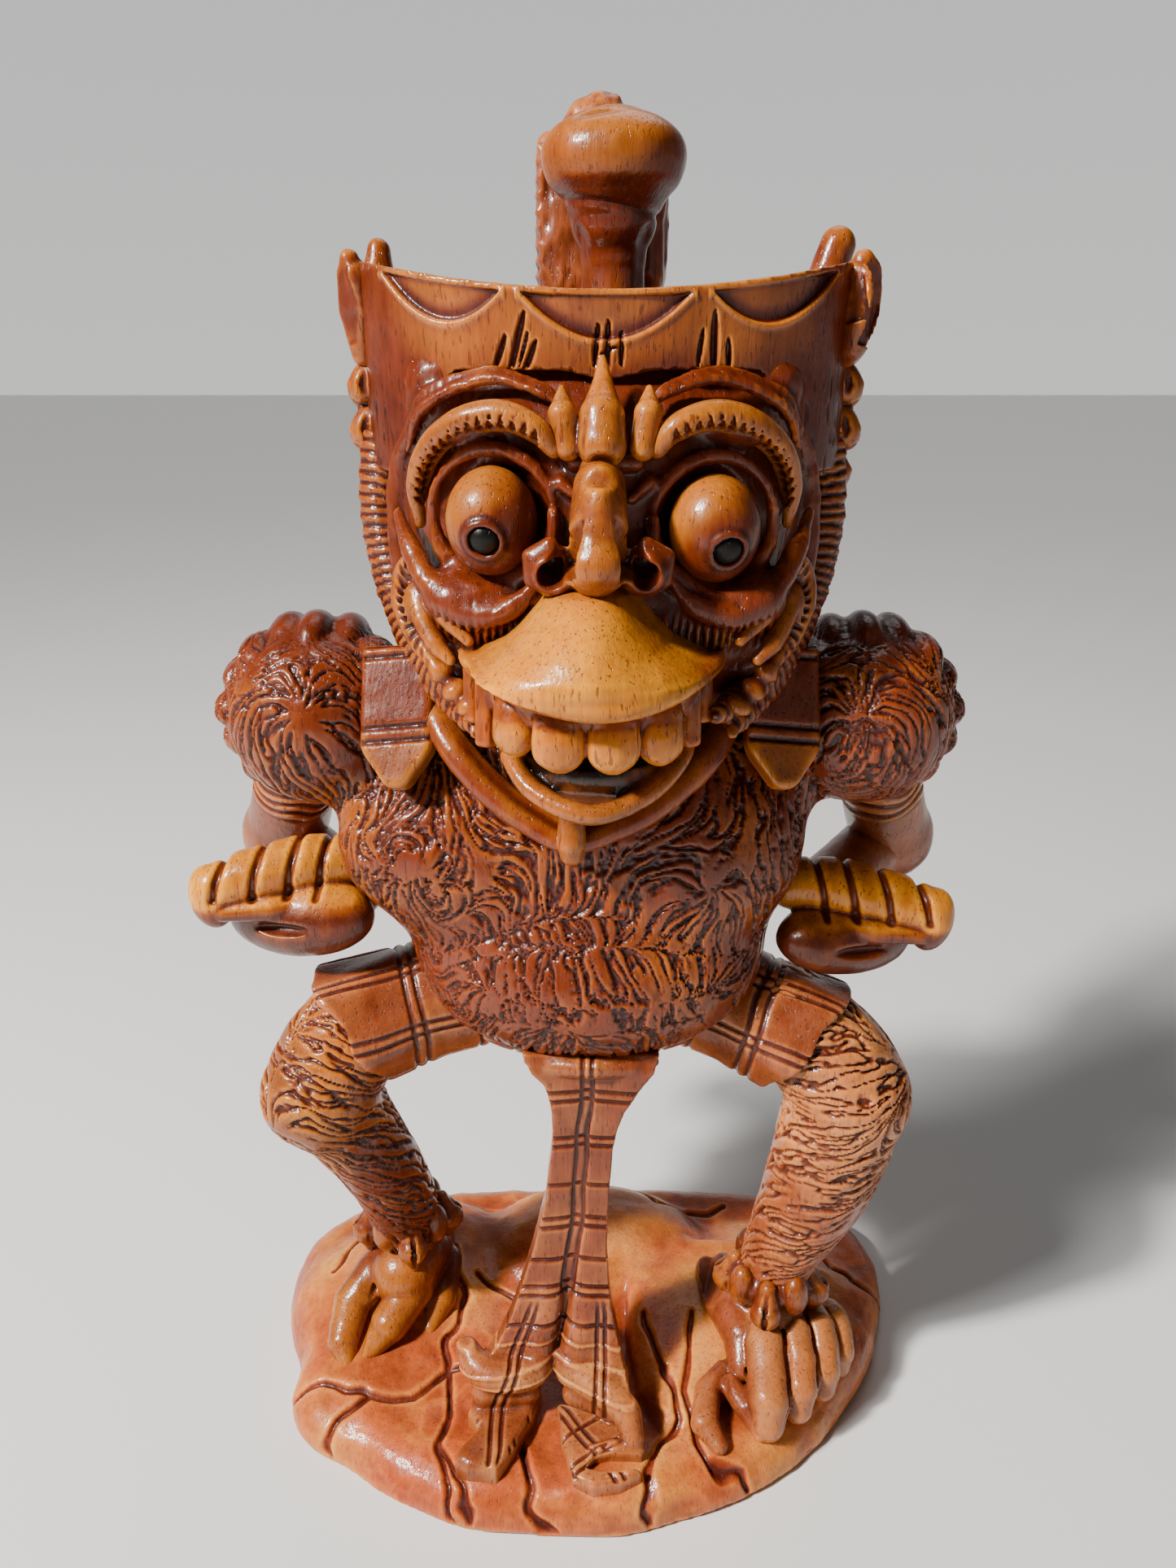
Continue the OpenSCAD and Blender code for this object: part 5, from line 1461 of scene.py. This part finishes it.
def make_sash():
    """Waist cloth: narrow fall that spreads into two pleated flaps, whose ends lie on the rock."""
    zk = np.array([14, 17, 20, 25, 30, 37, 45, 54, 68, 83, 88, 93, 97, 100, 103, 108.0])
    yk = np.array([-35.5, -33.5, -32, -29.5, -27.6, -25.8, -24.5, -23.6, -23.3, -24, -24.5, -25, -25.4,
                   -25.6, -25.4, -24])
    lk = np.array([-30, -29.5, -28.6, -25.2, -21.5, -18, -15.5, -12.9, -9.8, -8.3, -8.0, -8.1, -8.7, -9.6,
                   -12.4, -15])
    rk = np.array([11.5, 11.3, 10.8, 8.8, 7.4, 5.9, 5, 4.5, 4.8, 5.8, 6.6, 8.2, 10.4, 12.2, 14.4, 16])
    zm, xm = [14, 20, 37, 60, 100], [-10, -9.2, -5.6, -2.8, 0]

    def fn(x, y, z):
        mid = np.interp(z, zm, xm)
        wide = sstep(60, 25, z)
        yc = np.interp(z, zk, yk) - (0.22 * (x - mid) * wide) * (x > mid) * sstep(34, 18, z)
        sl = np.interp(z, zk, np.gradient(yk, zk))
        xl, xr = np.interp(z, zk, lk), np.interp(z, zk, rk)
        fold = (2.4 * wide + 0.6) * np.exp(-((x - mid) / 1.2) ** 2) \
            - 1.5 * wide * np.exp(-((np.abs(x - mid) - 4.6) / 3.0) ** 2)
        face = (np.abs(y - yc - fold) - 3.0) / np.sqrt(1 + sl * sl)
        return np.maximum(np.maximum(face, xl - x), np.maximum(np.maximum(x - xr, z - 107.5), 22.5 - z))
    f = Field((-38, -58, 4), (20, -16, 116), 0.6)
    f.add(Prim(fn, (-34, -50, 14), (19, -20, 113)))
    # golden rolled hems
    left = smooth_path([(-29.0, -28.0, 26.5), (-25.6, -31.8, 24.4), (-18.8, -33.4, 23.6),
                        (-12.8, -32.0, 24.2), (-10.4, -28, 26.5)], 6)
    right = smooth_path([(-7.8, -28, 26.0), (-3.0, -32.0, 23.6), (3.6, -35.4, 21.4), (8.6, -38.6, 18.6),
                         (10.4, -42.5, 14.8)], 6)
    f.add(chain(left, ramp([2.8, 3.9, 4.0, 3.7, 2.4], len(left))), 1.0)
    f.add(chain(right, ramp([2.6, 3.8, 3.9, 3.6, 2.8], len(right))), 1.0)
    # belt rolled over the top edge
    f.add(chain([(-13.2, -22.0, 103), (-8, -26.6, 104.4), (1, -28.3, 105), (9.5, -26.6, 104.2),
                 (14.6, -22.0, 102.6)], [1.4, 2.3, 2.5, 2.3, 1.4]), 0.8)
    # the tails, each a thick scrap of cloth with a curled edge
    f.add(plate([(-28, -31), (-28.6, -35.5), (-25.6, -39.8), (-29.6, -45.0), (-30.4, -48.4),
                 (-27.4, -50.4), (-20.7, -51.2), (-16.8, -45.4), (-13.0, -37.0), (-11.0, -29),
                 (-28, -29)], 4, 15.6, 2.2), 0.6)
    f.add(cap((-24.5, -32.5, 18), (-14.5, -32.0, 18), 3.4, 3.4), 1.5)
    f.add(cap((-3.0, -33, 18), (6, -36, 16.5), 3.2, 3.0), 1.5)
    f.add(plate([(-7.6, -31), (-6.4, -42.0), (-3.6, -51.6), (1.1, -53.4), (7.4, -52.6), (12.2, -50.4),
                 (12.6, -44), (11.4, -37), (6, -33)], 4, 13.6, 2.0), 0.6)
    f.cut(plate([(-0.6, -49.2), (1.2, -46.8), (4.8, -45.9), (13.6, -46.2), (13.6, -48.8), (4.6, -50.0)],
                9.0, 20, 0.8), 0.4)
    f.add(chain([(11.6, -44.6, 13.0), (6.0, -44.2, 13.6), (1.4, -45.2, 13.2), (-1.2, -48.4, 12.4)],
                [1.6, 1.8, 1.5, 1.0]), 0.5)
    f.cut(ell((-9.4, -40, 12), (2.0, 13, 9)), 0.6)
    b = skin("sash", f, 1)
    v, n = b.v, b.n
    x, y, z = v[:, 0], v[:, 1], v[:, 2]
    wob = 0.5 * vnoise(v, 8.0)
    fr = sstep(0.05, 0.4, -n[:, 1] + 0.5 * n[:, 2])
    mid = np.interp(z, zm, xm)
    q = x - mid
    tail = sstep(15.5, 14.5, z)
    hz = 0
    for zz in (99.0, 96.6, 86.5, 84.0, 73.0, 63.4, 61.0, 52.5, 45.4, 43.0, 35.6):
        hz = np.maximum(hz, line(z + 0.1 * np.abs(q) + wob, zz, 0.5))
    ridge = 0
    for zz, m_ in ((31.5, 0.22), (27.6, 0.24), (24.4, 0.26)):
        ridge = np.maximum(ridge, line(z + m_ * np.abs(q) * 0.6 + wob, zz, 0.42))
    vt = 0
    spread = np.interp(z, [14, 30, 45, 60], [1.25, 1.0, 0.7, 0.5])
    for xx in (-10.4, -8.4, 9.2, 11.2):
        vt = np.maximum(vt, line(q - xx * spread + wob * 0.5, 0, 0.45))
    vt = vt * sstep(42, 36, z) + 0.9 * (line(q - 1.0 + wob, 0, 0.5) + line(q + 1.1 + wob, 0, 0.5)) \
        * sstep(40, 46, z)
    d1, d2 = (x * 0.8 + y * 0.6), (x * 0.55 - y * 0.83)
    tl = 0
    for at in (-39.5, -41.6, -33.4, -24.2, -26.4):
        tl = np.maximum(tl, line(d1 + wob, at, 0.5))
    for at in (17.4, 19.2, 40.5, 38.4, 31.5):
        tl = np.maximum(tl, line(d2 + wob, at, 0.45))
    g = np.clip(np.maximum(hz * 0.9, vt) * (1 - tail) + 0.85 * tl * tail * sstep(0.2, 0.7, n[:, 2]), 0,
                1) * fr
    ridge = ridge * fr * (1 - tail)
    b.push(-0.62 * g + 0.35 * ridge - 0.3 * facets(v, 8.0))
    b.relief = -1.25 * g + 0.5 * ridge
    b.tone = 0.3 + 0.45 * fbm(v, 10.0, 2) + 0.55 * line(z, 23.5, 4.0) + 0.25 * ridge + 0.2 * tail
    b.finish(RED, "wood_reddish", "base", 1.0, 7)


# cracks as runs of (x, y) points seen from above
CRACKS = [
    [(-37, 15), (-33, 0), (-35, -11), (-35, -21)],
    [(-35, -21), (-44, -28), (-54, -29), (-63, -38)],
    [(-35, -21), (-33, -33), (-34, -40), (-27, -53), (-26, -60)],
    [(-34, -40), (-31, -54), (-31, -60)],
    [(14, -8), (20, -24), (21, -36), (15, -44), (14, -57), (8, -62)],
    [(-16, -41), (-12, -53), (-6, -59), (-4, -64)],
    [(27, -8), (23, -29), (25, -40), (28, -45), (36, -46), (40, -54)],
    [(53, -38), (68, -24), (75, -11)],
    [(-30, 6), (-12, -4)],
    [(-70, 10), (-60, 30), (-40, 40), (-20, 36)],
    [(40, 40), (20, 34), (8, 44), (2, 58)],
    [(60, 24), (72, 10), (84, 8)],
    [(-60, 30), (-66, 44)],
    [(52, 26), (54, 40), (64, 48)],
    [(-26, -20), (-35, -21)],
    [(-54, -29), (-64, -24), (-76, -24)]]
# outline of the rock on the ground
ROCK = [(-76, -8), (-66.5, -29), (-50, -44.5), (-32, -52.6), (-17, -55.6), (-2, -56.2), (11, -55.2),
        (35, -47.6), (56, -33), (71, -12), (80.5, 8), (82.5, 24), (78, 38), (62, 49), (32, 54), (0, 54),
        (-30, 54), (-60, 49), (-78, 37), (-82.5, 21), (-81, 5)]


def make_base():
    """Oval rock with raised slabs and cracks, flat below."""
    f = Field((-86, -60, -1), (86, 58, 32), 1.0)
    out = smooth_path(ROCK + ROCK[:1], 3)[:-1, :]
    f.add(plate(out, -12, lambda x, y: 10.5 + 0 * x * y, 9.5))
    f.add(ell((-49, 10, 6), (27, 26, 13)), 6)
    f.add(ell((-40, 18, 10), (20, 22, 10)), 4)
    f.add(ell((45, 2, 6), (30, 30, 12.5)), 5)
    f.add(ell((1, 22, 8), (34, 25, 16)), 4)
    # flat-topped rock beside the right foot, steep on its inner side
    f.add(plate([(11, 9), (10.5, -10), (12.6, -27), (17.5, -38), (26, -36), (40, -22), (46, -4), (44, 18),
                 (24, 20)], -6, lambda x, y: 18.6 + 0.16 * np.minimum(y + 6, 6) + 0 * x, 4.0), 2.0)
    # raised rock under the cloth
    f.add(plate([(-37, 8), (-35.5, -18), (-29, -34), (-20, -40), (4, -40), (8, -24), (8, 8), (-6, 18),
                 (-28, 18)], -6, lambda x, y: 14.5 + 0.11 * (y - 4) + 0 * x, 5.0), 3.0)
    f.add(ell((-58, -20, 4), (16, 18, 8.5)), 4)
    f.add(ell((-24, -44, 4), (14, 10, 7.2)), 4)
    f.add(ell((4, -46, 3), (16, 9, 7.4)), 4)
    f.keep(lambda x, y, z: 0.1 - z + 0 * x * y)
    b = skin("base", f, 1)
    v, n = b.v, b.n
    wob = np.stack([vnoise(v, 6.0), vnoise(v, 6.0, 5.0)], 1) * 1.9
    x, y = v[:, 0] + wob[:, 0], v[:, 1] + wob[:, 1]
    g = np.zeros(len(v), F32)
    for c in CRACKS:
        for a, e in zip(c, c[1:]):
            g = np.maximum(g, stroke(x, y, a, e, 1.25, False))
    g *= sstep(-0.3, 0.1, n[:, 2])
    planes = facets(v, (16, 16, 12), 9.0)
    low = sstep(0.6, 2.0, v[:, 2])
    b.push((-1.5 * g - 1.1 * planes + 0.12 * vnoise(v, (3, 3, 1.5)) + 0.3) * low)
    b.v[:, 2] = np.maximum(b.v[:, 2], 0.02)
    b.relief = -1.1 * g + 0.25 - 0.5 * planes
    b.tone = 0.35 + 0.8 * fbm(v, 15.0, 2, 2.0) + 0.25 * sstep(10, 18, v[:, 2])
    b.finish(ORANGE, "wood_orange", "base", 0.8, 8)


stage_and_light()
make_body()
make_head()
for side_ in (-1, 1):
    make_brow(side_)
    make_curl(side_)
    make_hair(side_)
    make_eye(side_)
make_nose()
make_petals()
make_bill()
make_teeth()
make_jaw()
make_crown()
make_topknot()
make_collar()
for side_ in (-1, 1):
    make_horns(side_)
    make_side_leaf(side_)
    make_lappet(side_)
    make_arm(side_)
    make_thigh_cloth(side_)
    make_leg(side_)
    make_cuff(side_)
make_hip()
make_sash()
make_feet()
make_base()
